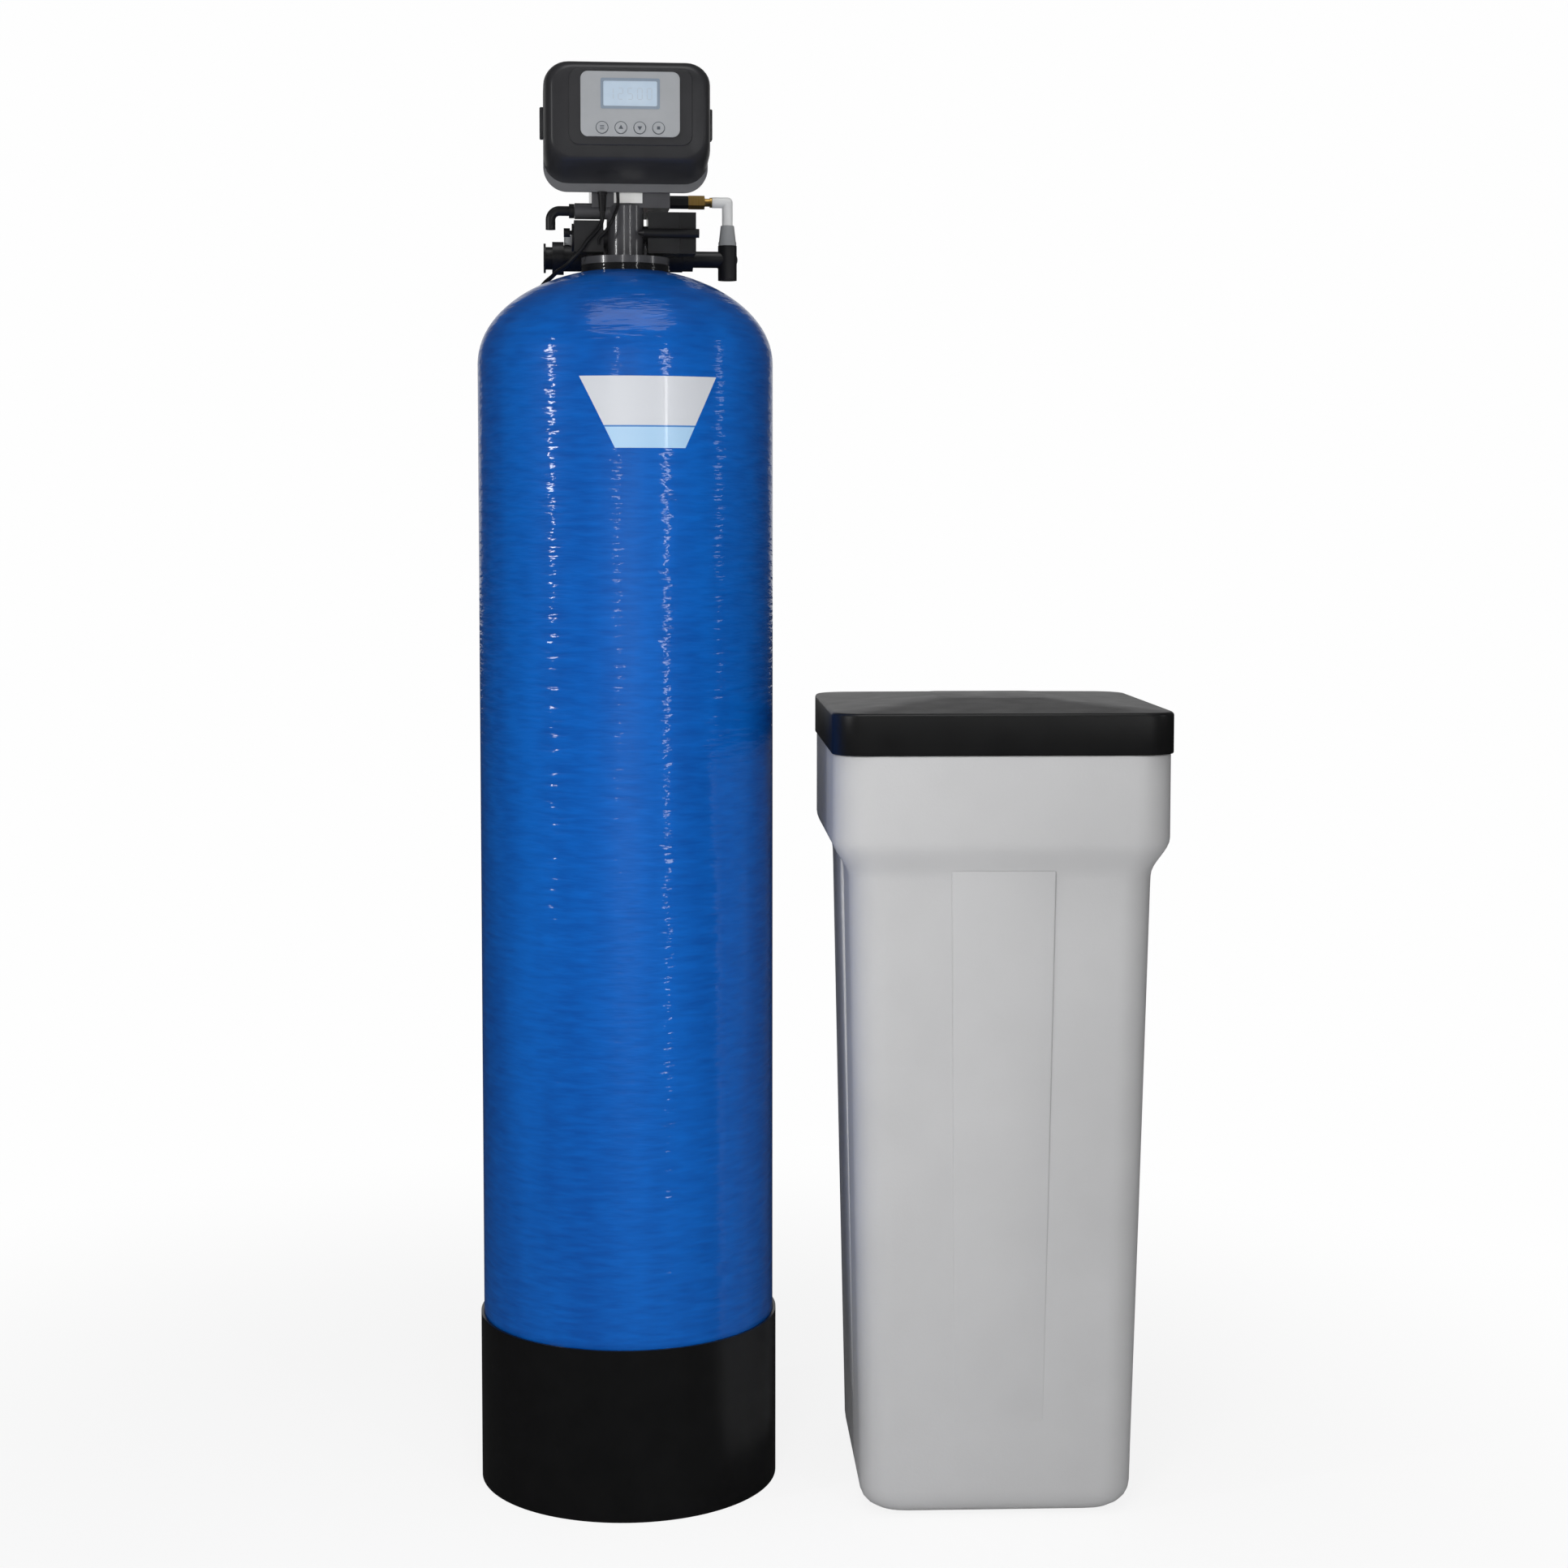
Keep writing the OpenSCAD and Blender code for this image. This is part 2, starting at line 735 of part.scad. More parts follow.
// Valve body and what runs in it
module valve_body() {
    wide = port_x + port_r + 1;
    low = port_z - port_r - 1;
    high = port_z + port_r + 1;
    color("#3c3c3e") head() difference() {
        union() {
            cylinder(h = flange_h, r = neck_r);
            translate([0, 0, -thread_h]) cylinder(h = thread_h, r = thread_r);
            cylinder(h = column_h, r = column_r);
            box(-shoulder_left, shoulder_right, -barrel_front, barrel_back, shoulder_z0, shoulder_z1);
            rod_y(-barrel_front, barrel_back, 0, barrel_z, barrel_r);
            box(-wide, wide, port_block_y0, port_block_y1, low, high);
            box(-column_r / 2, column_r / 2, 0, port_block_y0 + 1, low, high);
            for (x = [-port_x, port_x]) rod_y(port_block_y0, port_end, x, port_z, port_r);
            rod_x(-drain_boss_x, 0, 0, drain_z, drain_boss_r);
        }
        translate([0, 0, -thread_h - cut]) cylinder(h = thread_h + cut, r = thread_bore_r);
        translate([0, 0, -cut]) cylinder(h = barrel_z + cut, r = flow_bore_r);
        rod_y(-barrel_front - cut, barrel_back - barrel_end, 0, barrel_z, barrel_bore_r);
        for (x = [-port_x, port_x]) rod_y(port_block_y0 + 4, port_end + cut, x, port_z, port_bore / 2);
        rod_x(-drain_boss_x - cut, -flow_bore_r, 0, drain_z, drain_r - 1.5);
        rotate_extrude() translate([seal_ring_r - seal_r - loose, -cut])
            square([2 * seal_r + 2 * loose, 2 * seal_r + cut]);
    }
}

module spacer_stack() {
    port_w = 8;
    port_y = [for (f = [0.15, 0.38, 0.62, 0.85]) spacer_y0 + f * (spacer_y1 - spacer_y0)];
    color("#222222") head() difference() {
        rod_y(spacer_y0, spacer_y1, 0, barrel_z, barrel_bore_r - run);
        rod_y(spacer_y0 - cut, spacer_y1 + cut, 0, barrel_z, piston_r + loose);
        for (y = port_y, a = [0:60:300])
            translate([0, y, barrel_z]) rotate([0, a, 0])
                box(-port_w / 2, port_w / 2, -port_w / 4, port_w / 4, piston_r - cut, barrel_bore_r + cut);
    }
}

module piston() {
    groove = 2;
    color("#d9d4c4") head() difference() {
        union() {
            rod_y(rod_front, piston_y0 + cut, 0, barrel_z, rod_r);
            rod_y(piston_y0, piston_y0 + piston_len, 0, barrel_z, piston_r);
        }
        for (f = [0.3, 0.7]) difference() {
            rod_y(piston_y0 + f * piston_len - 4, piston_y0 + f * piston_len + 4, 0, barrel_z,
                piston_r + cut);
            rod_y(piston_y0, piston_y0 + piston_len, 0, barrel_z, piston_r - groove);
        }
    }
}

module drive_cap() {
    color("#2a2a2c") head() difference() {
        union() {
            rod_y(plate_back, -barrel_front, 0, barrel_z, barrel_r - 1);
            rod_y(-barrel_front, cap_plug - barrel_front, 0, barrel_z, barrel_bore_r - run);
            rod_y(gear_a - gear_w, plate_back, 0, barrel_z, boss_r);
        }
        rod_y(gear_a - gear_w - cut, cap_plug - barrel_front + cut, 0, barrel_z, rod_r + loose);
    }
}

// Gear drive
module main_gear() {
    color("#e8e2d0") head() difference() {
        union() {
            gear(main_teeth, main_dir, 0, barrel_z, gear_a);
            rod_y(gear_a - gear_w - hub_t, gear_a - gear_w, 0, barrel_z, boss_r + 1);
        }
        rod_y(gear_a - gear_w - seat, gear_a + cut, 0, barrel_z, boss_r + run);
        rod_y(gear_a - gear_w - hub_t - cut, gear_a, 0, barrel_z, rod_r + loose);
    }
}

module idler_gear() {
    color("#e8e2d0") head() difference() {
        union() {
            gear(idler_small, main_dir + 180 + 180 / idler_small, idler_x, idler_z, gear_a);
            gear(idler_large, pinion_dir, idler_x, idler_z, gear_b);
            rod_y(gear_b - 1, gear_a, idler_x, idler_z, idler_pin_r + 1.8);
        }
        rod_y(gear_b - gear_w - cut, gear_a + cut, idler_x, idler_z, idler_pin_r + run);
    }
}

module motor_pinion() {
    color("#e8e2d0") head() {
        gear(pinion_teeth, pinion_dir + 180 + 180 / pinion_teeth, pinion_x, pinion_z, gear_b);
        rod_y(bracket_front - motor_shaft_len, gear_b - gear_w + 1, pinion_x, pinion_z, motor_shaft_r);
    }
}

module drive_motor() {
    back = bracket_front - run;
    color("#8c8f94") head() difference() {
        union() {
            rod_y(back - motor_len, back, pinion_x, pinion_z, motor_d / 2);
            rod_y(back - motor_len - 2, back - motor_len, pinion_x, pinion_z, motor_d / 4);
        }
        rod_y(bracket_front - motor_shaft_len - 1, back + cut, pinion_x, pinion_z, motor_shaft_r + run);
    }
}

module drive_bracket() {
    inset = post_r + 2;
    color("#e4e4e2") head() difference() {
        union() {
            box(bracket_left, bracket_right, bracket_front, bracket_back, bracket_z0, bracket_z1);
            for (x = [bracket_left + inset, bracket_right - inset],
                z = [bracket_z0 + inset, bracket_z1 - inset])
                rod_y(bracket_front, plate_front, x, z, post_r);
        }
        rod_y(bracket_front - cut, bracket_back + cut, 0, barrel_z, rod_r + cut);
        rod_y(bracket_front - cut, bracket_back + cut, idler_x, idler_z, idler_pin_r + run);
        rod_y(bracket_front - cut, bracket_back + cut, pinion_x, pinion_z, motor_shaft_r + cut);
    }
}

module back_plate() {
    lip_w = cover_w - 2 * cover_wall - 1;
    lip_z0 = cover_z0 + cover_wall + 2;
    lip_z1 = cover_z1 - cover_wall - 0.5;
    lip_r = cover_r - cover_wall - 0.5;
    color("#2b2b2d") head() difference() {
        union() {
            pane(plate_back, plate_t, 0, cover_w, plate_z0, cover_z1, cover_r);
            difference() {
                pane(plate_front, lip_depth, 0, lip_w, lip_z0, lip_z1, lip_r);
                pane(plate_front + cut, lip_depth + 2 * cut, 0, lip_w - 2 * lip_t, lip_z0 + lip_t,
                    lip_z1 - lip_t, lip_r - lip_t);
            }
            rod_y(bracket_front, plate_front, idler_x, idler_z, idler_pin_r);
        }
        rod_y(plate_front - cut, plate_back + cut, 0, barrel_z, boss_r + loose);
    }
}

// Cover: slices of its outline from the rear edge to the front face, drawn in by inset
module cover_slices(inset, rear, front) {
    slice = 0.1;
    rise = 0.35 * (face_z0 - cover_z0);
    hull($fn = 32) {
        pane(rear, slice, 0, cover_w - 2 * inset, cover_z0 + inset, cover_z1 - inset, cover_r - inset);
        pane(cover_rear - cover_depth / 2, slice, 0, cover_w - 2 * inset, cover_z0 + rise + inset,
            cover_z1 - inset, cover_r - inset);
        pane(face_y + 11, slice, 0, cover_w - 6 - 2 * inset, face_z0 - 6 + inset, cover_z1 - 4 - inset,
            cover_r - 2 - inset);
        pane(front + slice, slice, 0, face_w - 2 * inset, face_z0 + inset, face_z1 - inset,
            cover_r - 7 - inset);
    }
}

module front_cover() {
    edge = cover_w / 2;
    window_w = panel_w - 14;
    window_z0 = button_z - button_r - 1.5;
    window_z1 = panel_z0 + panel_h - 6;
    pad_w = face_w - pad_left - pad_right;
    color("#1d1d1f") head() difference() {
        union() {
            cover_slices(0, cover_rear, face_y);
            pane(face_y + cut, pad_t + cut, (pad_left - pad_right) / 2, pad_w, face_z0 + 12, face_z1 - 2,
                panel_r + 3);
            for (s = [-1, 1])
                box(s * edge - latch_w, s * edge + latch_w, cover_rear - 18, cover_rear - 2,
                    latch_z0, latch_z1);
        }
        cover_slices(cover_wall, cover_rear + cut, face_y + cover_wall);
        pane(face_y + 2 * cover_wall, 2 * cover_wall + pad_t + cut, panel_x, window_w, window_z0, window_z1,
            panel_r - 4);
    }
}

// Display panel, screen, board and buttons
module display_panel() {
    post_x = panel_w / 2 - 12;
    lcd_z0 = panel_z0 + lcd_rise;
    color("#b9bcc0") head() difference() {
        union() {
            pane(panel_back, panel_t, panel_x, panel_w, panel_z0, panel_z0 + panel_h, panel_r);
            for (x = [-post_x, post_x], z = [-6, 22])
                rod_y(panel_back - cut, board_front, panel_x + x, panel_z0 + panel_h / 2 + z, 2.5);
        }
        pane(panel_back + cut, panel_t + 2 * cut, panel_x, lcd_w, lcd_z0, lcd_z0 + lcd_h, 1.5);
        for (i = [0:3])
            rod_y(panel_front - cut, panel_back + cut, panel_x + (i - 1.5) * button_pitch, button_z,
                button_r + 0.1);
    }
}

module lcd_screen() {
    z0 = panel_z0 + lcd_rise;
    color("#dbe8f2") head()
        pane(board_front, board_front - panel_front - loose, panel_x, lcd_w - 2 * seat, z0 + seat,
            z0 + lcd_h - seat, 1.3);
}

module pc_board() {
    color("#2d6b3f") head()
        pane(board_front + board_t, board_t, panel_x, panel_w - 8, panel_z0 + 4, panel_z0 + panel_h - 4, 3);
}

module panel_button(i) {
    x = panel_x + (i - 1.5) * button_pitch;
    lip = panel_back + loose;
    color("#c6c9cc") head() {
        rod_y(panel_front - button_proud, lip + button_lip, x, button_z, button_r);
        rod_y(lip, lip + button_lip, x, button_z, button_r + 1);
        rod_y(lip, board_front - button_travel - loose, x, button_z, 2);
    }
}
module button_menu() { panel_button(0); }
module button_up() { panel_button(1); }
module button_down() { panel_button(2); }
module button_set() { panel_button(3); }

// Meter on the left of the column
module meter_housing() {
    color("#262628") head() difference() {
        union() {
            box(-meter_x1, -block_in, -block_front, block_back, meter_z0, meter_z0 + meter_h);
            rod_x(-block_in - cut, 0, block_mid_y, meter_mid_z, socket_r);
        }
        translate([0, 0, -cut]) cylinder(h = column_h, r = column_r + run);
        rod_x(-meter_x1 - cut, -chamber_x0, block_mid_y, meter_mid_z, chamber_r);
        rod_x(-chamber_x0 - cut, -chamber_x0 + turbine_pin_len + 0.7, block_mid_y, meter_mid_z,
            turbine_pin_r + run);
    }
}

module meter_cap() {
    face = -meter_x1 - seat;
    plug_r = 5;
    plug_rise = 5.5;
    color("#1c1c1e") head() difference() {
        union() {
            rod_x(face, face + seat + meter_plug, block_mid_y, meter_mid_z, chamber_r - seat);
            rod_x(face - meter_flange_t, face, block_mid_y, meter_mid_z, chamber_r + 2);
            rod_x(face - 5, face, block_mid_y, meter_mid_z + plug_rise, plug_r / 2);
            rod_x(face - 11, face - 4, block_mid_y, meter_mid_z + plug_rise, plug_r);
        }
        rod_x(face, face + meter_plug + cut, block_mid_y, meter_mid_z, turbine_pin_r + run);
    }
}

module meter_turbine() {
    x0 = -meter_x1 + meter_plug + 0.5;
    x1 = -chamber_x0 - 0.5;
    blade = 1.6;
    pitch = 25;
    color("#3f6fb0") head() {
        rod_x(x0, x1, block_mid_y, meter_mid_z, turbine_r / 3);
        rod_x(x0 - turbine_pin_len, x1 + turbine_pin_len, block_mid_y, meter_mid_z, turbine_pin_r);
        intersection() {
            rod_x(x0 + 4, x1 - 4, block_mid_y, meter_mid_z, turbine_r);
            translate([(x0 + x1) / 2, block_mid_y, meter_mid_z]) for (a = [0:60:300])
                rotate([a, 0, 0]) rotate([0, 0, pitch])
                    box(x0 - x1, x1 - x0, -blade / 2, blade / 2, 0, turbine_r + cut);
        }
    }
}

// Injector on the right of the column
module injector_housing() {
    color("#2c2c2e") head() difference() {
        union() {
            box(block_in, injector_x1, -block_front, block_back, injector_z0, injector_z0 + injector_h);
            rod_x(0, block_in + cut, block_mid_y, nozzle_z - 8, socket_r);
        }
        translate([0, 0, -cut]) cylinder(h = column_h + cut, r = column_r + run);
        rod_x(injector_x1 - nozzle_len - cut, injector_x1 + cut, block_mid_y, nozzle_z, nozzle_r + run);
    }
}

module injector_cap() {
    color("#1e1e20") head() difference() {
        box(injector_x1 + seat, injector_x2, -block_front, block_back, injector_z0, injector_z0 + injector_h);
        rod_x(injector_x2 - brine_port_len, injector_x2 + cut, block_mid_y, brine_port_z, brine_port_r);
    }
}

module injector_nozzle() {
    throat = 1.5;
    mouth = nozzle_r - 2;
    color("#b04038") head() translate([injector_x1 - nozzle_len, block_mid_y, nozzle_z]) rotate([0, 90, 0])
        rotate_extrude() polygon([[mouth, 0], [nozzle_r, 0], [nozzle_r, nozzle_len], [mouth, nozzle_len],
            [throat, nozzle_len * 0.6], [throat, nozzle_len * 0.4]]);
}

module injector_clip() {
    y = -block_front - clip_r - seat;
    tip = 6;
    x0 = block_in - 11;
    color("#29292b") head() {
        rod_x(x0 + tip, injector_x2 + 3, y, clip_z, clip_r);
        translate([x0, y, clip_z]) rotate([0, 90, 0]) cylinder(h = tip, r1 = clip_r * 0.3, r2 = clip_r);
    }
}

module drain_elbow() {
    nut_len = 6;
    bore = drain_r - 1.5;
    color("#1f1f21") head() difference() {
        union() {
            rod_x(-drain_boss_x - seat - nut_len, -drain_boss_x - seat, 0, drain_z, drain_boss_r - 1);
            rod_x(-drain_x + drain_bend, -drain_boss_x - seat, 0, drain_z, drain_r);
            translate([-drain_x + drain_bend, 0, drain_z - drain_bend]) rotate([90, 0, 0])
                rotate_extrude(angle = 90, start = 90) translate([drain_bend, 0]) circle(drain_r);
            translate([-drain_x, 0, drain_z - drain_drop]) cylinder(h = drain_drop - drain_bend, r = drain_r);
        }
        rod_x(-drain_x + drain_bend, -drain_boss_x + cut, 0, drain_z, bore);
        translate([-drain_x + drain_bend, 0, drain_z - drain_bend]) rotate([90, 0, 0])
            rotate_extrude(angle = 90, start = 90) translate([drain_bend, 0]) circle(bore);
        translate([-drain_x, 0, drain_z - drain_drop - cut])
            cylinder(h = drain_drop - drain_bend + cut, r = bore);
    }
}

// Bypass behind the neck
module bypass_body() {
    half = 12;
    color("#232325") head() difference() {
        union() {
            rod_x(-bypass_left, bypass_right, bypass_y, bypass_z, bypass_r);
            for (x = [-port_x, port_x]) {
                rod_y(port_end + seat, bypass_y, x, port_z, port_r - 1);
                rod_y(bypass_y, handle_y - loose, x, bypass_z, stem_r + 3);
            }
        }
        rod_x(-bypass_left - cut, -half, bypass_y, bypass_z, bypass_bore / 2);
        rod_x(half, bypass_right + cut, bypass_y, bypass_z, bypass_bore / 2);
        for (x = [-port_x, port_x]) {
            rod_y(port_end - cut, bypass_y, x, port_z, port_bore / 2 - 1);
            rod_y(bypass_y - bypass_r + 4, handle_y + cut, x, bypass_z, stem_r + run);
        }
        translate([-knob_x, bypass_y, bypass_z]) cylinder(h = bypass_r + cut, r = knob_stem_r + run);
    }
}

module bypass_nuts() {
    color("#1b1b1d") head() for (x = [-port_x, port_x]) difference() {
        rod_y(port_end - 12, port_end + 4, x, port_z, port_r + 5);
        rod_y(port_end - 12 - cut, port_end + 4 + cut, x, port_z, port_r + seat);
    }
}

module bypass_handle(x, tint) {
    w = stem_d;
    color(tint) head() {
        rod_y(bypass_y - bypass_r + 5, handle_y + 1, x, bypass_z, stem_r);
        rod_y(handle_y, handle_y + handle_t, x, bypass_z, stem_r + 3);
        box(x - w / 3, x + w / 3, handle_y, handle_y + handle_t, bypass_z, bypass_z + handle_len);
    }
}
module inlet_handle() { bypass_handle(-port_x, "#a02a26"); }
module outlet_handle() { bypass_handle(port_x, "#a02a26"); }

module blend_knob() {
    z0 = bypass_z + bypass_r + loose;
    color("#8a8c8e") head() translate([-knob_x, bypass_y, 0]) difference() {
        union() {
            translate([0, 0, bypass_z + 6]) cylinder(h = z0 + 1 - bypass_z - 6, r = knob_stem_r);
            translate([0, 0, z0]) cylinder(h = knob_h, r = knob_r);
        }
        translate([0, 0, z0 + knob_h - 2]) box(-knob_r, knob_r, -0.8, 0.8, 0, 2 + cut);
    }
}

module inlet_union() {
    x0 = -bypass_left - seat;
    nut_in = bypass_left - 8;
    nut_r = bypass_r + 4;
    flange_t = 2.5;
    color("#19191b") head() difference() {
        union() {
            rod_x(x0 - 5, -nut_in, bypass_y, bypass_z, nut_r);
            rod_x(x0 - inlet_len, x0, bypass_y, bypass_z, bypass_r - 2);
            rod_x(x0 - inlet_len, x0 - inlet_len + flange_t, bypass_y, bypass_z, inlet_flange_d / 2);
        }
        rod_x(x0, -nut_in + cut, bypass_y, bypass_z, bypass_r + seat);
        rod_x(x0 - inlet_len - cut, x0 + cut, bypass_y, bypass_z, inlet_d / 2);
    }
}

// Outlet and the refill line on the right
module outlet_tee() {
    x0 = bypass_right + seat;
    end = 3;
    back = bypass_y + outlet_len;
    socket = 15;
    color("#2a2a2c") head() difference() {
        union() {
            rod_x(x0, tee_x, bypass_y, bypass_z, tee_arm_r);
            rod_x(x0, x0 + 12, bypass_y, bypass_z, bypass_r - 1);
            rod_y(bypass_y, back, tee_x, bypass_z, outlet_d / 2 + end);
            translate([tee_x, bypass_y, -tee_drop]) cylinder(h = tee_drop + tee_rise, r = tee_r);
        }
        rod_x(x0 - cut, tee_x, bypass_y, bypass_z, tee_arm_r - 3);
        rod_y(bypass_y, back + cut, tee_x, bypass_z, tee_bore / 2 - 2);
        rod_y(back - socket, back + cut, tee_x, bypass_z, outlet_d / 2);
        translate([tee_x, bypass_y, end - tee_drop])
            cylinder(h = tee_drop + tee_rise - 4 - end, r = tee_bore / 2);
        translate([tee_x, bypass_y, 0]) cylinder(h = tee_rise + cut, r = refill_r - 3);
    }
}

module refill_union() {
    z0 = tee_rise + seat;
    color("#9a9c9e") head() translate([tee_x, bypass_y, z0]) difference() {
        union() {
            cylinder(h = 4, r = tee_r - 0.5);
            translate([0, 0, 4]) cylinder(h = union_h - 4, r1 = tee_r - 1, r2 = refill_r + 1.6);
        }
        translate([0, 0, -cut]) cylinder(h = union_h + 2 * cut, r = refill_r - 3);
    }
}

module refill_elbow() {
    z0 = tee_rise + seat + union_h + seat;
    bore = refill_r - 2.5;
    color("#e3e4e4") head() difference() {
        union() {
            translate([tee_x, bypass_y, z0]) cylinder(h = refill_z - z0, r = refill_r);
            translate([tee_x, bypass_y, refill_z]) sphere(refill_r);
            rod_x(elbow_x0, tee_x, bypass_y, refill_z, refill_r);
        }
        translate([tee_x, bypass_y, z0 - cut]) cylinder(h = refill_z - z0 + cut, r = bore);
        rod_x(elbow_x0 - cut, tee_x, bypass_y, refill_z, bore);
    }
}

module brass_nipple() {
    x0 = nipple_x0 + seat;
    color("#c79a4b") head() difference() {
        union() {
            translate([x0, bypass_y, refill_z]) rotate([0, 90, 0])
                cylinder(h = nipple_hex_len, r = nipple_hex_r, $fn = 6);
            rod_x(x0, elbow_x0 - seat, bypass_y, refill_z, refill_r - 1.6);
            rod_x(elbow_x0 - seat - 2.5, elbow_x0 - seat, bypass_y, refill_z, refill_r - 0.4);
        }
        rod_x(x0 - cut, elbow_x0 + cut, bypass_y, refill_z, refill_r - 4);
    }
}

module refill_socket() {
    x0 = shoulder_right + seat;
    color("#18181a") head() difference() {
        translate([x0, bypass_y, refill_z]) rotate([0, 90, 0])
            cylinder(h = nipple_x0 - x0, r = socket_hex_r, $fn = 6);
        rod_x(x0 - cut, nipple_x0 + cut, bypass_y, refill_z, refill_r - 4);
    }
}

// Leads: the power lead hangs down behind the tank, the meter lead runs from plug to head
lead_head = [[-25, -24, 58], [-25, -24, 52], [-27, -25, 44], [-33, -28, 35], [-41, -30, 26], [-49, -31, 15],
    [-57, -29, 6], [-65, -23, -1], [-72, -14, -5], [-78, -3, -8], [-84, 9, -12], [-91, 24, -16],
    [-97, 42, -21], [-101, 62, -28], [-102, 82, -37], [-100, 101, -47], [-96, 118, -58], [-91, 131, -69],
    [-87, 141, -83], [-84, 148, -100], [-82, 153, -124]];
lead_floor = [[-81, 155, 1180], [-81, 156, 1000], [-80, 157, 760], [-80, 157, 520], [-80, 157, 300],
    [-80, 157, 160], [-80, 158, 100], [-80, 160, 60], [-79, 163, 32], [-75, 168, 14], [-67, 176, 5],
    [-58, 184, 4], [-48, 192, 8], [-38, 197, 14], [-30, 198, 16], [-24, 198, 16]];
lead_route = concat([for (p = lead_head) p + [0, 0, tank_h]], lead_floor);
lead_start = lead_route[0];
lead_finish = lead_route[len(lead_route) - 1];
meter_plug_x = -block_in - 5;
meter_route = [[meter_plug_x, -block_front - 5, meter_z0 + 8],
    [meter_plug_x, -block_front - 6, meter_z0 + 14],
    [-25, -26, 33], [-18, -26, 44], [-12, -24, 56], [-9, -21, 66], [-9, -21, plate_z0]];

module strain_relief() {
    h = tank_h + plate_z0 - lead_start[2];
    color("#141414") translate(lead_start) difference() {
        union() {
            cylinder(h = h, r1 = lead_d / 2 + 1, r2 = lead_d / 2 + 2.4);
            translate([0, 0, h - 3]) cylinder(h = 3, r = lead_d / 2 + 3);
        }
        translate([0, 0, -cut]) cylinder(h = cut + 4, r = lead_d / 4);
    }
}

module power_lead() {
    color("#121212") lead(lead_route, lead_d, 8, 2);
}

module power_adapter() {
    len_x = 72;
    len_y = 44;
    len_z = 2 * lead_finish[2];
    boot = 12;
    pin_r = 2;
    pin_len = 19;
    pin_pitch = 19;
    color("#161616") translate(lead_finish) {
        rotate([0, 90, 0]) cylinder(h = boot, r1 = lead_d / 2 + 1, r2 = lead_d / 2 + 3.5);
        translate([boot + len_x / 2, len_y / 2, 0]) rotate([90, 0, 0])
            linear_extrude(len_y) rounded(len_x, len_z, 5);
        for (s = [-1, 1])
            rod_y(len_y / 2, len_y / 2 + pin_len, boot + len_x / 2 + s * pin_pitch / 2, 0, pin_r);
    }
}

module meter_lead() {
    color("#161616") head() {
        lead(meter_route, meter_lead_d, 8, 3);
        rod_y(-block_front - 8, -block_front, meter_plug_x, meter_z0 + 6, 4.5);
    }
}

// Brine tank: one skin through level outlines, up the outside and down the inside.
// An outline is a rounded square with a raised panel of height rise on each side.
function outline(w, r, rise, z) =
    [for (q = [0:3]) for (p = concat(
        [[w / 2, -rib_half(z)], [w / 2 + rise, rib_edge - rib_half(z)],
            [w / 2 + rise, rib_half(z) - rib_edge], [w / 2, rib_half(z)]],
        [for (k = [0:corner_steps]) polar(r, 90 * k / corner_steps) + [w / 2 - r, w / 2 - r]]))
        [p[0] * cos(90 * q) - p[1] * sin(90 * q), p[0] * sin(90 * q) + p[1] * cos(90 * q), z]];
function rib_share(z) = min(1, max(0, z - rib_fade_z) / (body_h - rib_fade_z));
function rib_half(z) = (rib_low_w + (rib_w - rib_low_w) * rib_share(z)) / 2;

// Outlines of the rounded foot, drawn in by inset on every side
function foot_levels(inset) =
    [for (k = [0:foot_steps])
        let (a = 90 * k / foot_steps, round_r = foot_r - inset, in = inset + round_r * (1 - sin(a)))
        outline(body_low_w - 2 * in, brine_r - inset - 0.6 * (in - inset), 0,
            inset + round_r * (1 - cos(a)))];

module skin(levels) {
    n = len(levels[0]);
    m = len(levels);
    last = (m - 1) * n;
    middles = [for (l = [levels[0], levels[m - 1]]) [0, 0, l[0][2]]];
    points = concat([for (l = levels) for (p = l) p], middles);
    walls = [for (i = [0:m - 2]) for (k = [0:n - 1]) let (a = i * n + k, b = i * n + (k + 1) % n)
        for (f = [[a, a + n, b], [b, a + n, b + n]]) f];
    ends = [for (k = [0:n - 1]) let (b = (k + 1) % n)
        for (f = [[k, b, m * n], [last + b, last + k, m * n + 1]]) f];
    polyhedron(points, concat(walls, ends));
}

module brine_tank() {
    collar_top = collar_z + collar_h;
    rib_end = body_h + rib_rise * flare_h / ((collar_w - body_top_w) / 2);
    flare_w = body_top_w + 2 * rib_rise;
    wide_r = brine_r + 3;
    rim_r = lid_r - lid_wall - lid_gap;
    in = brine_wall;
    outside = concat(foot_levels(0), [outline(body_w(rib_fade_z), brine_r, 0, rib_fade_z),
        outline(body_top_w, brine_r, rib_rise, body_h), outline(flare_w, brine_r, 0, rib_end),
        outline(collar_w, wide_r, 0, collar_z), outline(collar_w, wide_r, 0, collar_top),
        outline(rim_w, rim_r, 0, collar_top), outline(rim_w, rim_r, 0, rim_top)]);
    inside = concat(foot_levels(in), [outline(body_top_w - 2 * in, brine_r - in, 0, body_h),
        outline(collar_w - 2 * in, wide_r - in, 0, collar_z),
        outline(collar_w - 2 * in, wide_r - in, 0, collar_top - 3 * in),
        outline(rim_w - 2 * in, rim_r - in, 0, collar_top - in),
        outline(rim_w - 2 * in, rim_r - in, 0, rim_top)]);
    color("#c4c4c4") brine() difference() {
        skin(concat(outside, [for (i = [len(inside) - 1:-1:0]) inside[i]]));
        rod_y(0, collar_w, overflow_x, overflow_z, overflow_r + 1 + loose);
        rod_y(0, collar_w, well_off, line_z, line_hole_r);
    }
}

module lid_roof_slices(z, w, r, crown) {
    slice = 0.1;
    hull($fn = 32) {
        translate([0, 0, z]) linear_extrude(slice) rounded(w, w, r);
        translate([0, 0, z + lid_rise - slice]) linear_extrude(slice) rounded(crown, crown, 12);
    }
}

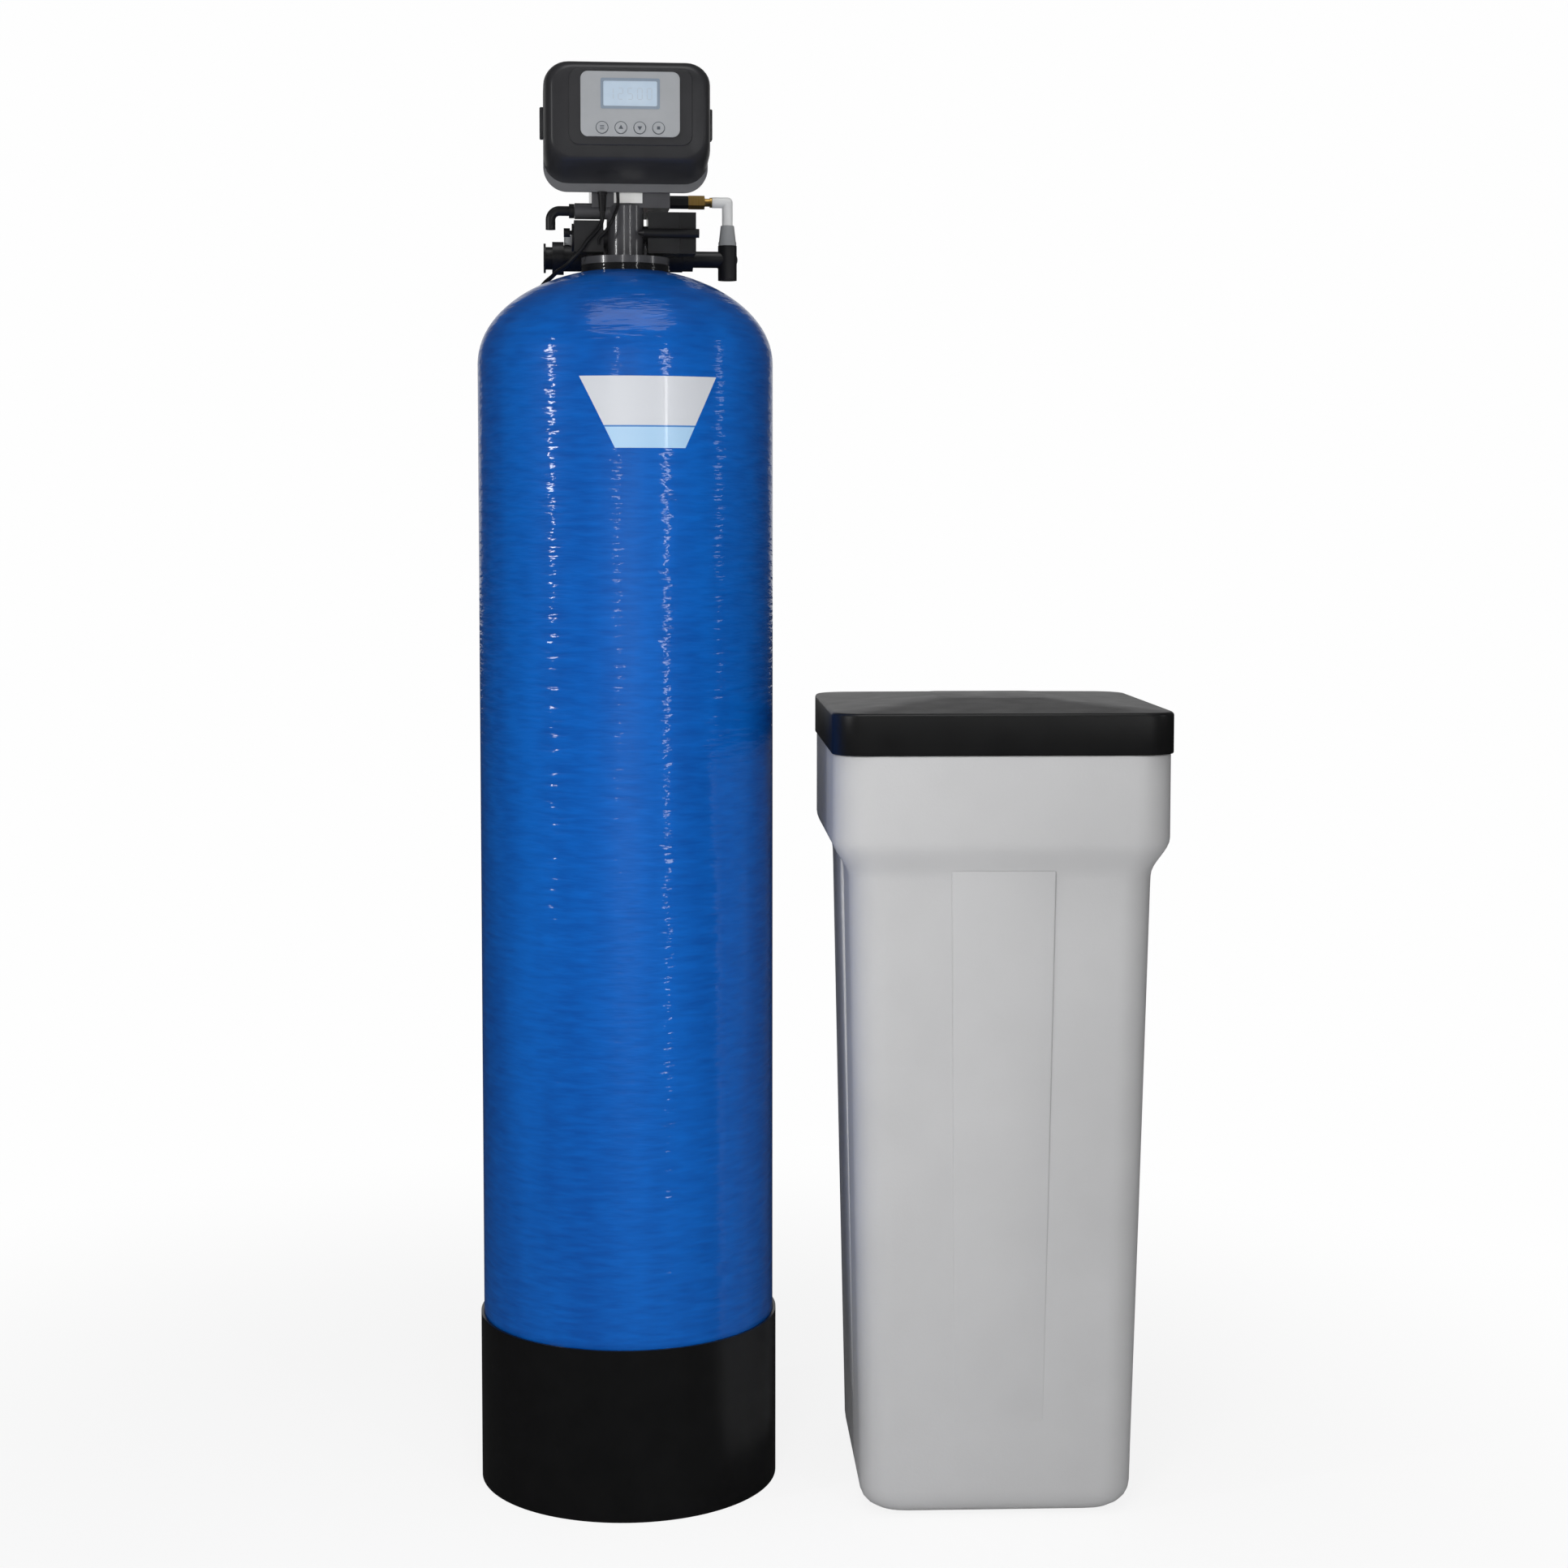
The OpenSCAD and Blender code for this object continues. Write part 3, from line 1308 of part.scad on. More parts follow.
module brine_lid() {
    skirt_in = lid_w - 2 * lid_wall;
    color("#1e1e1e") brine() difference() {
        union() {
            translate([0, 0, skirt_z]) linear_extrude(skirt_h) rounded(lid_w, lid_w, lid_r);
            lid_roof_slices(lid_edge, lid_w, lid_r, crown_w);
        }
        translate([0, 0, skirt_z - cut]) linear_extrude(lid_roof - skirt_z + cut)
            rounded(skirt_in, skirt_in, lid_r - lid_wall);
        lid_roof_slices(lid_roof, rim_w - 2 * brine_wall - 4, lid_r - lid_wall - brine_wall, crown_w);
    }
}

module salt_platform() {
    w = body_w(platform_z - platform_t) - 2 * brine_wall - 3;
    leg_r = 9;
    leg_in = 53.5;
    leg = w / 2 - leg_in;
    slot = [16, 6];
    step = 24;
    legs = [[-leg, -leg], [leg, -leg], [-leg, leg]];
    spots = [for (x = [-5:5], y = [-5:5]) let (p = [x * step, y * step])
        if (norm(p - [well_off, well_off]) > well_r + step && min([for (q = legs) norm(p - q)]) > step) p];
    color("#3c6f9c") brine() difference() {
        union() {
            translate([0, 0, platform_z - platform_t]) linear_extrude(platform_t)
                rounded(w, w, brine_r - brine_wall - 2);
            for (p = legs) translate([p[0], p[1], brine_wall])
                cylinder(h = platform_z - brine_wall - 1, r = leg_r);
        }
        translate([well_off, well_off, platform_z - platform_t - cut])
            cylinder(h = platform_t + 2 * cut, r = well_r + loose);
        for (p = spots) translate([p[0], p[1], platform_z - platform_t / 2])
            cube([slot[0], slot[1], platform_t + 2 * cut], center = true);
    }
}

module brine_well() {
    slot_w = 5;
    slot_h = 40;
    color("#d6d6d4") brine() translate([well_off, well_off, brine_wall]) difference() {
        cylinder(h = well_top - brine_wall, r = well_r);
        translate([0, 0, -cut]) cylinder(h = well_top + 2 * cut, r = well_in_r);
        for (a = [0:45:315]) rotate([0, 0, a])
            box(well_in_r - cut, well_r + cut, -slot_w / 2, slot_w / 2, slot_h / 2, slot_h * 1.5);
    }
}

module well_cap() {
    skirt_r = well_r + loose;
    color("#cfcfcc") brine() translate([well_off, well_off, well_top - cap_skirt]) difference() {
        cylinder(h = cap_skirt + seat + cap_rise, r = skirt_r + 2.5);
        translate([0, 0, -cut]) cylinder(h = cap_skirt + seat + cut, r = skirt_r);
    }
}

module brine_pickup() {
    check_r = 14;
    check_z0 = brine_wall + 8;
    check_h = 58;
    stop_h = 8;
    color("#e2e2de") brine() translate([well_off, well_off, 0]) {
        difference() {
            translate([0, 0, spider_z]) cylinder(h = spider_t, r = well_in_r - seat);
            for (y = [-vent_off, vent_off]) translate([0, y, spider_z - cut])
                cylinder(h = spider_t + 2 * cut, r = vent_r);
        }
        translate([-pickup_off, 0, check_z0]) cylinder(h = check_h, r = check_r);
        translate([-pickup_off, 0, check_z0 + 1]) cylinder(h = spider_z + 20 - check_z0, r = pickup_r);
        translate([pickup_off, 0, float_z - stop_h])
            cylinder(h = spider_z + 1 - float_z + stop_h, r = float_rod_r);
        translate([pickup_off, 0, float_z - stop_h - loose]) cylinder(h = stop_h, r = float_rod_r + 4);
    }
}

module brine_float() {
    color("#f0f0ea") brine() translate([well_off + pickup_off, well_off, float_z]) difference() {
        cylinder(h = float_h, r = float_r);
        translate([0, 0, -cut]) cylinder(h = float_h + 2 * cut, r = float_rod_r + run);
    }
}

// Overflow through the back wall of the brine tank
overflow_wall = body_w(overflow_z) / 2;
overflow_thread_r = overflow_r + 1;

module overflow_elbow() {
    face = overflow_wall + 0.6;
    reach = overflow_r + 20;
    bore = overflow_r - 2.5;
    pipe_r = overflow_r + 1.5;
    leg = pipe_r + 2;
    flange_t = 4;
    color("#1a1a1c") brine() translate([overflow_x, face, overflow_z]) difference() {
        union() {
            rod_y(-brine_wall - 14, 0, 0, 0, overflow_thread_r);
            rod_y(0, flange_t, 0, 0, overflow_r + 7);
            rod_y(0, reach, 0, 0, pipe_r);
            translate([0, reach, 0]) sphere(pipe_r);
            translate([0, reach, -leg]) cylinder(h = leg, r = pipe_r);
            translate([0, reach, -overflow_drop]) cylinder(h = overflow_drop, r = overflow_r);
        }
        rod_y(-brine_wall - 14 - cut, reach, 0, 0, bore);
        translate([0, reach, -overflow_drop - cut]) cylinder(h = overflow_drop + cut, r = bore);
    }
}

module overflow_nut() {
    nut_t = 8;
    y1 = overflow_wall - brine_wall - 1;
    color("#222224") brine() difference() {
        translate([overflow_x, y1, overflow_z]) rotate([90, 0, 0])
            cylinder(h = nut_t, r = overflow_r + 9, $fn = 6);
        rod_y(y1 - nut_t - cut, y1 + cut, overflow_x, overflow_z, overflow_thread_r + run);
    }
}

// Rubber grommet where a brine line passes through the collar
module line_grommet() {
    y1 = collar_w / 2 + seat;
    y0 = y1 - brine_wall - 2 * seat;
    lip = 2;
    flange_t = 3;
    color("#17171a") brine() difference() {
        union() {
            rod_y(y0 - lip, y1 + flange_t, well_off, line_z, line_r + grommet_wall);
            rod_y(y0 - lip, y0, well_off, line_z, line_hole_r + 1.5);
            rod_y(y1, y1 + flange_t, well_off, line_z, line_hole_r + 4);
        }
        rod_y(y0 - lip - cut, y1 + flange_t + cut, well_off, line_z, line_r);
    }
}

tank_shell();
tank_base();
tank_label();
gravel_bed();
resin_bed();
riser_tube();
lower_basket();
upper_basket();
neck_seal();
valve_body();
spacer_stack();
piston();
drive_cap();
back_plate();
drive_bracket();
drive_motor();
main_gear();
idler_gear();
motor_pinion();
front_cover();
display_panel();
lcd_screen();
pc_board();
button_menu();
button_up();
button_down();
button_set();
meter_housing();
meter_cap();
meter_turbine();
meter_lead();
injector_housing();
injector_cap();
injector_nozzle();
injector_clip();
drain_elbow();
bypass_body();
bypass_nuts();
inlet_handle();
outlet_handle();
blend_knob();
inlet_union();
outlet_tee();
refill_union();
refill_elbow();
brass_nipple();
refill_socket();
strain_relief();
power_lead();
power_adapter();
brine_tank();
brine_lid();
salt_platform();
brine_well();
well_cap();
brine_pickup();
brine_float();
overflow_elbow();
overflow_nut();
line_grommet();
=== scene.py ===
"""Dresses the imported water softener: finishes for its nodes, and finer pieces for what shows most."""

import math

import bmesh
import bpy
from mathutils import Matrix, Vector


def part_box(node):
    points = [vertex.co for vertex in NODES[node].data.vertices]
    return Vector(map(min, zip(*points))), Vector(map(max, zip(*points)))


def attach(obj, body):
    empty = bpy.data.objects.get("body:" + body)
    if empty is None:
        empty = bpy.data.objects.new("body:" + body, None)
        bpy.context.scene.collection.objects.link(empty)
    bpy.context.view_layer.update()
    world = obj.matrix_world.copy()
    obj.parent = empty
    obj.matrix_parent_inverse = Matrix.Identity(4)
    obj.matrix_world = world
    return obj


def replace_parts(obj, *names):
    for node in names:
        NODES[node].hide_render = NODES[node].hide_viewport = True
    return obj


bl_info = {
    "name": "Water softener dressing",
    "version": (1, 0, 0),
    "blender": (4, 5, 0),
    "location": "View3D > Sidebar > Softener",
    "description": "Finishes and fine pieces for a water softener with its brine tank",
    "category": "Object",
}

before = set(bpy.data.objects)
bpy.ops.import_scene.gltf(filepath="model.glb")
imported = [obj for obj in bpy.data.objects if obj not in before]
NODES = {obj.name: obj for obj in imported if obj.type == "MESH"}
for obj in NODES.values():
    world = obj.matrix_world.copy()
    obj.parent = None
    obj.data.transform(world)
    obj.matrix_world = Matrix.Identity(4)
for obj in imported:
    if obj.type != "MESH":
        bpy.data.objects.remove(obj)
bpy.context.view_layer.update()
# Edges with less of a turn than this are shaded smooth
SMOOTH_BELOW = math.radians(35)
# Height of the neck's top face, and the length of its bare insert below that face
NECK = 1.39
NECK_INSERT = 0.0079
HEAD_TURN = math.radians(3)
# From the valve head's own frame, at the top of the tank's neck, to the object's frame
HEAD = Matrix.Translation((0, 0, NECK)) @ Matrix.Rotation(HEAD_TURN, 4, "Z")


def linear(code):
    """Linear RGBA of an sRGB hex colour."""
    parts = [int(code[i : i + 2], 16) / 255 for i in (1, 3, 5)]
    return tuple(p / 12.92 if p <= 0.04045 else ((p + 0.055) / 1.055) ** 2.4 for p in parts) + (1.0,)


def add(tree, kind, inputs=None, **settings):
    """Adds a node, sets its properties, and sets or links its inputs."""
    made = tree.nodes.new(kind)
    for key, value in settings.items():
        setattr(made, key, value)
    for key, value in (inputs or {}).items():
        if isinstance(value, bpy.types.NodeSocket):
            tree.links.new(value, made.inputs[key])
        else:
            made.inputs[key].default_value = value
    return made


def start(name, **sockets):
    """A material with one shader: returns it, its tree, its shader and the Object coordinates."""
    material = bpy.data.materials.new(name)
    material.use_nodes = True
    tree = material.node_tree
    tree.nodes.clear()
    shader = add(tree, "ShaderNodeBsdfPrincipled", {k.replace("_", " "): v for k, v in sockets.items()})
    add(tree, "ShaderNodeOutputMaterial", {"Surface": shader.outputs[0]})
    place = add(tree, "ShaderNodeTexCoord").outputs["Object"]
    return material, tree, shader, place


def shade(tree, factor, low, high):
    """Colour that runs from one hex value to another with a factor."""
    mix = add(tree, "ShaderNodeMix", {"Factor": factor}, data_type="RGBA")
    mix.inputs["A"].default_value = linear(low)
    mix.inputs["B"].default_value = linear(high)
    return mix.outputs["Result"]


def moulded(name, low, high, rough, grain=0.0008, depth=0.00003, patch=0.03, coat=0.0, **more):
    """Moulded plastic: two close tones in soft patches, and a fine grain in the light."""
    material, tree, shader, place = start(name, Roughness=rough, Coat_Weight=coat, **more)
    cloud = add(tree, "ShaderNodeTexNoise", {"Vector": place, "Scale": 1 / patch, "Detail": 3.0})
    tree.links.new(shade(tree, cloud.outputs["Fac"], low, high), shader.inputs["Base Color"])
    fine = add(tree, "ShaderNodeTexNoise", {"Vector": place, "Scale": 1 / grain, "Detail": 2.0})
    span = add(tree, "ShaderNodeMapRange", {"Value": cloud.outputs["Fac"], "To Min": rough - 0.05,
        "To Max": rough + 0.07})
    tree.links.new(span.outputs["Result"], shader.inputs["Roughness"])
    bump = add(tree, "ShaderNodeBump", {"Height": fine.outputs["Fac"], "Strength": 0.5, "Distance": depth})
    tree.links.new(bump.outputs["Normal"], shader.inputs["Normal"])
    return material


def wound_fibreglass():
    """Glass fibre wound wet round the tank and set in blue gel: hoops of strand under a clear gloss,
    so that a highlight breaks into short stacked dashes."""
    material, tree, shader, place = start("wound_fibreglass", Roughness=0.42, Specular_IOR_Level=0.12,
        Coat_Weight=0.6, Coat_Roughness=0.07, IOR=1.5)
    # Hoops about 6 mm apart, uneven along the tank and broken every few centimetres round it
    flat = add(tree, "ShaderNodeMapping", {"Vector": place, "Scale": (30.0, 30.0, 165.0)})
    hoops = add(tree, "ShaderNodeTexNoise", {"Vector": flat.outputs[0], "Scale": 1.0, "Detail": 2.0,
        "Roughness": 0.5})
    long = add(tree, "ShaderNodeMapping", {"Vector": place, "Scale": (14.0, 14.0, 1.6)})
    streaks = add(tree, "ShaderNodeTexNoise", {"Vector": long.outputs[0], "Scale": 1.0, "Detail": 2.0})
    both = add(tree, "ShaderNodeMath", {0: hoops.outputs["Fac"], 1: streaks.outputs["Fac"]}, operation="ADD")
    half = add(tree, "ShaderNodeMath", {0: both.outputs[0], 1: 0.5}, operation="MULTIPLY")
    tone = add(tree, "ShaderNodeMapRange", {"Value": half.outputs[0], "From Min": 0.35, "From Max": 0.65})
    look = bpy.context.scene.softener_colours
    mix = add(tree, "ShaderNodeMix", {"Factor": tone.outputs["Result"]}, data_type="RGBA")
    mix.inputs["A"].default_value = tuple(look.tank_shade) + (1.0,)
    mix.inputs["B"].default_value = tuple(look.tank) + (1.0,)
    # The neck's moulded insert stands bare and black above the winding
    level = add(tree, "ShaderNodeSeparateXYZ", {0: place}).outputs["Z"]
    neck = add(tree, "ShaderNodeMath", {0: level, 1: NECK - NECK_INSERT}, operation="GREATER_THAN")
    body = add(tree, "ShaderNodeMix", {"Factor": neck.outputs[0]}, data_type="RGBA")
    tree.links.new(mix.outputs["Result"], body.inputs["A"])
    body.inputs["B"].default_value = linear("#161618")
    tree.links.new(body.outputs["Result"], shader.inputs["Base Color"])
    bump = add(tree, "ShaderNodeBump", {"Height": hoops.outputs["Fac"], "Strength": 0.6, "Distance": 0.0009})
    tree.links.new(bump.outputs["Normal"], shader.inputs["Normal"])
    coat = add(tree, "ShaderNodeBump", {"Height": hoops.outputs["Fac"], "Strength": 1.0, "Distance": 0.0016})
    tree.links.new(coat.outputs["Normal"], shader.inputs["Coat Normal"])
    return material


def printed_label(low, high):
    """Gloss vinyl sticker with a pale blue foot below a thin line; its face is bare."""
    material, tree, shader, place = start("gloss_vinyl_label", Roughness=0.28, Coat_Weight=0.3)
    level = add(tree, "ShaderNodeSeparateXYZ", {0: place}).outputs["Z"]
    part = add(tree, "ShaderNodeMapRange", {"Value": level, "From Min": low, "From Max": high})
    ramp = add(tree, "ShaderNodeValToRGB", {"Fac": part.outputs["Result"]})
    ramp.color_ramp.interpolation = "CONSTANT"
    # Share of the label's height where each colour starts; the upper white is laid down as a pale grey, a
    # painted shade
    stops = ((0.0, "#a9cdeb"), (0.29, "#3f7fc4"), (0.315, "#cfd2d8"))
    ramp.color_ramp.elements[1].position = stops[2][0]
    ramp.color_ramp.elements.new(stops[1][0])
    for stop, (at, code) in zip(ramp.color_ramp.elements, stops):
        stop.position = at
        stop.color = linear(code)
    tree.links.new(ramp.outputs["Color"], shader.inputs["Base Color"])
    fine = add(tree, "ShaderNodeTexNoise", {"Vector": place, "Scale": 90.0})
    bump = add(tree, "ShaderNodeBump", {"Height": fine.outputs["Fac"], "Strength": 0.15, "Distance": 0.0004})
    tree.links.new(bump.outputs["Normal"], shader.inputs["Normal"])
    return material


def beads(name, size, low, high, rough):
    """Loose grains: rounded cells of the grain's own size, each in its own tone."""
    material, tree, shader, place = start(name, Roughness=rough)
    cells = add(tree, "ShaderNodeTexVoronoi", {"Vector": place, "Scale": 1 / size})
    tone = add(tree, "ShaderNodeSeparateColor", {0: cells.outputs["Color"]})
    tree.links.new(shade(tree, tone.outputs[0], low, high), shader.inputs["Base Color"])
    bump = add(tree, "ShaderNodeBump", {"Height": cells.outputs["Distance"], "Strength": 1.0,
        "Distance": size / 2}, invert=True)
    tree.links.new(bump.outputs["Normal"], shader.inputs["Normal"])
    return material


def worked_metal(name, low, high, rough, stretch):
    """Bare metal with the fine lines that turning or brushing leaves along one axis."""
    material, tree, shader, place = start(name, Metallic=1.0, Roughness=rough)
    long = add(tree, "ShaderNodeMapping", {"Vector": place, "Scale": stretch})
    lines = add(tree, "ShaderNodeTexNoise", {"Vector": long.outputs[0], "Scale": 1.0, "Detail": 3.0})
    tree.links.new(shade(tree, lines.outputs["Fac"], low, high), shader.inputs["Base Color"])
    span = add(tree, "ShaderNodeMapRange", {"Value": lines.outputs["Fac"], "To Min": rough - 0.08,
        "To Max": rough + 0.12})
    tree.links.new(span.outputs["Result"], shader.inputs["Roughness"])
    bump = add(tree, "ShaderNodeBump", {"Height": lines.outputs["Fac"], "Strength": 0.2, "Distance": 0.0001})
    tree.links.new(bump.outputs["Normal"], shader.inputs["Normal"])
    return material


def dress(material, *names):
    """Gives CAD nodes a finish."""
    for name in names:
        data = NODES[name].data
        data.materials.clear()
        data.materials.append(material)


def piece(bm, name, material, body):
    """Makes an object of a bmesh, at the origin, that rides on a body."""
    bmesh.ops.remove_doubles(bm, verts=bm.verts, dist=1e-6)
    bmesh.ops.recalc_face_normals(bm, faces=bm.faces)
    for face in bm.faces:
        face.smooth = True
    for edge in bm.edges:
        edge.smooth = len(edge.link_faces) == 2 and edge.calc_face_angle() < SMOOTH_BELOW
    data = bpy.data.meshes.new(name)
    bm.to_mesh(data)
    bm.free()
    return settle(bpy.data.objects.new(name, data), material, body)


def settle(obj, material, body):
    """Links an object, gives it its finish and sets it on its body."""
    obj.data.materials.append(material)
    bpy.context.scene.collection.objects.link(obj)
    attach(obj, body)
    return obj


def rounded_plate(bm, width, height, radius, steps=8):
    """One flat face in the XY plane with rounded corners; returns it."""
    made = bmesh.ops.create_grid(bm, x_segments=1, y_segments=1, size=0.5)["verts"]
    bmesh.ops.scale(bm, vec=(width, height, 1), verts=made)
    made = bmesh.ops.bevel(bm, geom=made, offset=radius, affect="VERTICES", segments=steps, profile=0.5,
        material=-1)
    return made["verts"][0].link_faces[0]


def grow(bm, face, shift, scale=(1, 1, 1), centre=(0, 0, 0)):
    """Extrudes a face, moves the new one and scales it about a point; returns the new face."""
    made = bmesh.ops.extrude_face_region(bm, geom=[face])["geom"]
    verts = [g for g in made if isinstance(g, bmesh.types.BMVert)]
    bmesh.ops.translate(bm, vec=shift, verts=verts)
    bmesh.ops.scale(bm, vec=scale, verts=verts, space=Matrix.Translation(-Vector(centre)))
    return next(g for g in made if isinstance(g, bmesh.types.BMFace))


def loft(bm, face, levels):
    """Carries a face through levels of (width, height, centre), the first its own; returns the last face."""
    bmesh.ops.translate(bm, vec=levels[0][2], verts=face.verts)
    steps = [face]
    for (w0, h0, c0), (w1, h1, c1) in zip(levels, levels[1:]):
        steps.append(grow(bm, steps[-1], Vector(c1) - Vector(c0), (w1 / w0, h1 / h0, 1), c1))
    bmesh.ops.delete(bm, geom=steps[1:-1], context="FACES_ONLY")
    return steps[-1]


def rounding(width, z, radius, steps=5):
    """Widths and heights along a rounded upper edge."""
    turns = [math.pi / 2 * k / steps for k in range(steps + 1)]
    return [(width - 2 * radius * (1 - math.cos(a)), z - radius * (1 - math.sin(a))) for a in turns]


def block(bm, size, centre, matrix=Matrix()):
    """A box of a given size, in millimetres, about a centre."""
    spot = matrix @ Matrix.Translation(Vector(centre) / 1000)
    made = bmesh.ops.create_cube(bm, size=1.0)["verts"]
    bmesh.ops.scale(bm, vec=Vector(size) / 1000, verts=made)
    bmesh.ops.transform(bm, matrix=spot, verts=made)
    return made


def upright(bm):
    """Turns what was drawn flat so that it faces the front of the valve head, and puts it there."""
    bmesh.ops.transform(bm, matrix=HEAD @ Matrix.Rotation(math.pi / 2, 4, "X"), verts=bm.verts)


class SoftenerSizes(bpy.types.PropertyGroup):
    """Sizes of the pieces that are made here."""

    lead: bpy.props.FloatProperty(name="Power lead", description="Diameter of the power lead", default=0.005,
        subtype="DISTANCE", unit="LENGTH")
    meter_lead: bpy.props.FloatProperty(name="Meter lead", description="Diameter of the meter lead",
        default=0.0036, subtype="DISTANCE", unit="LENGTH")
    collar: bpy.props.FloatProperty(name="Brine collar", description="Width of the brine tank's collar",
        default=0.37, subtype="DISTANCE", unit="LENGTH")
    lid: bpy.props.FloatProperty(name="Brine lid", description="Width of the brine tank's lid", default=0.373,
        subtype="DISTANCE", unit="LENGTH")
    cover: bpy.props.FloatProperty(name="Cover", description="Width of the control head's cover",
        default=0.184, subtype="DISTANCE", unit="LENGTH")
    focal: bpy.props.FloatProperty(name="Lens", description="Focal length of the camera in millimetres",
        default=60.28, unit="CAMERA")


class SoftenerColours(bpy.types.PropertyGroup):
    """Colours that a user would change."""

    tank: bpy.props.FloatVectorProperty(name="Tank", description="Lit colour of the wound tank",
        default=linear("#0560bd")[:3], size=3, subtype="COLOR")
    tank_shade: bpy.props.FloatVectorProperty(name="Tank shade", description="Deep colour of the wound tank",
        default=linear("#024da2")[:3], size=3, subtype="COLOR")
    backdrop: bpy.props.FloatVectorProperty(name="Backdrop",
        description="Colour of the floor and the backdrop", default=linear("#fefefe")[:3], size=3,
        subtype="COLOR")


CAMERA_SPOT = (0.0394, -3.0, 1.1035)
CAMERA_TURN = (math.radians(90 - 3.976), 0, math.radians(-2.129))
CAMERA_SHIFT = (0.0162, -0.0519)
SENSOR_WIDTH = 36.0
# The lamps look at this point
LAMP_AIM = Vector((0.15, 0, 0.85))
# Turn to the right and rise in degrees, distance, width and height in metres, watts, and whether gloss
# mirrors it.
# Small high lamps draw the broken upright streaks on the tank; the broad ones fill from above and in front
LAMPS = (
    ("left lamp", -59, 16, 3.4, 0.16, 0.9, 15, True),
    ("middle lamp", -8, 16, 3.6, 0.14, 0.6, 3, True),
    ("right lamp", 29, 8, 3.6, 0.13, 1.6, 8, True),
    ("far right lamp", 76, 17, 3.4, 0.3, 0.8, 3, True),
    ("top box", 0, 72, 3.4, 2.4, 2.0, 30, True),
    ("key box", -6, 5, 1.3, 0.4, 1.3, 8.5, False),
)
# How bright the room is to gloss, to everything else that isn't the camera, and the backdrop behind to gloss
GLOSS_ROOM, PLAIN_ROOM, GLOSS_BACKDROP = 0.05, 0.22, 0.8
FLOOR_HALF = 30
FLOOR_DROP = 0.0005


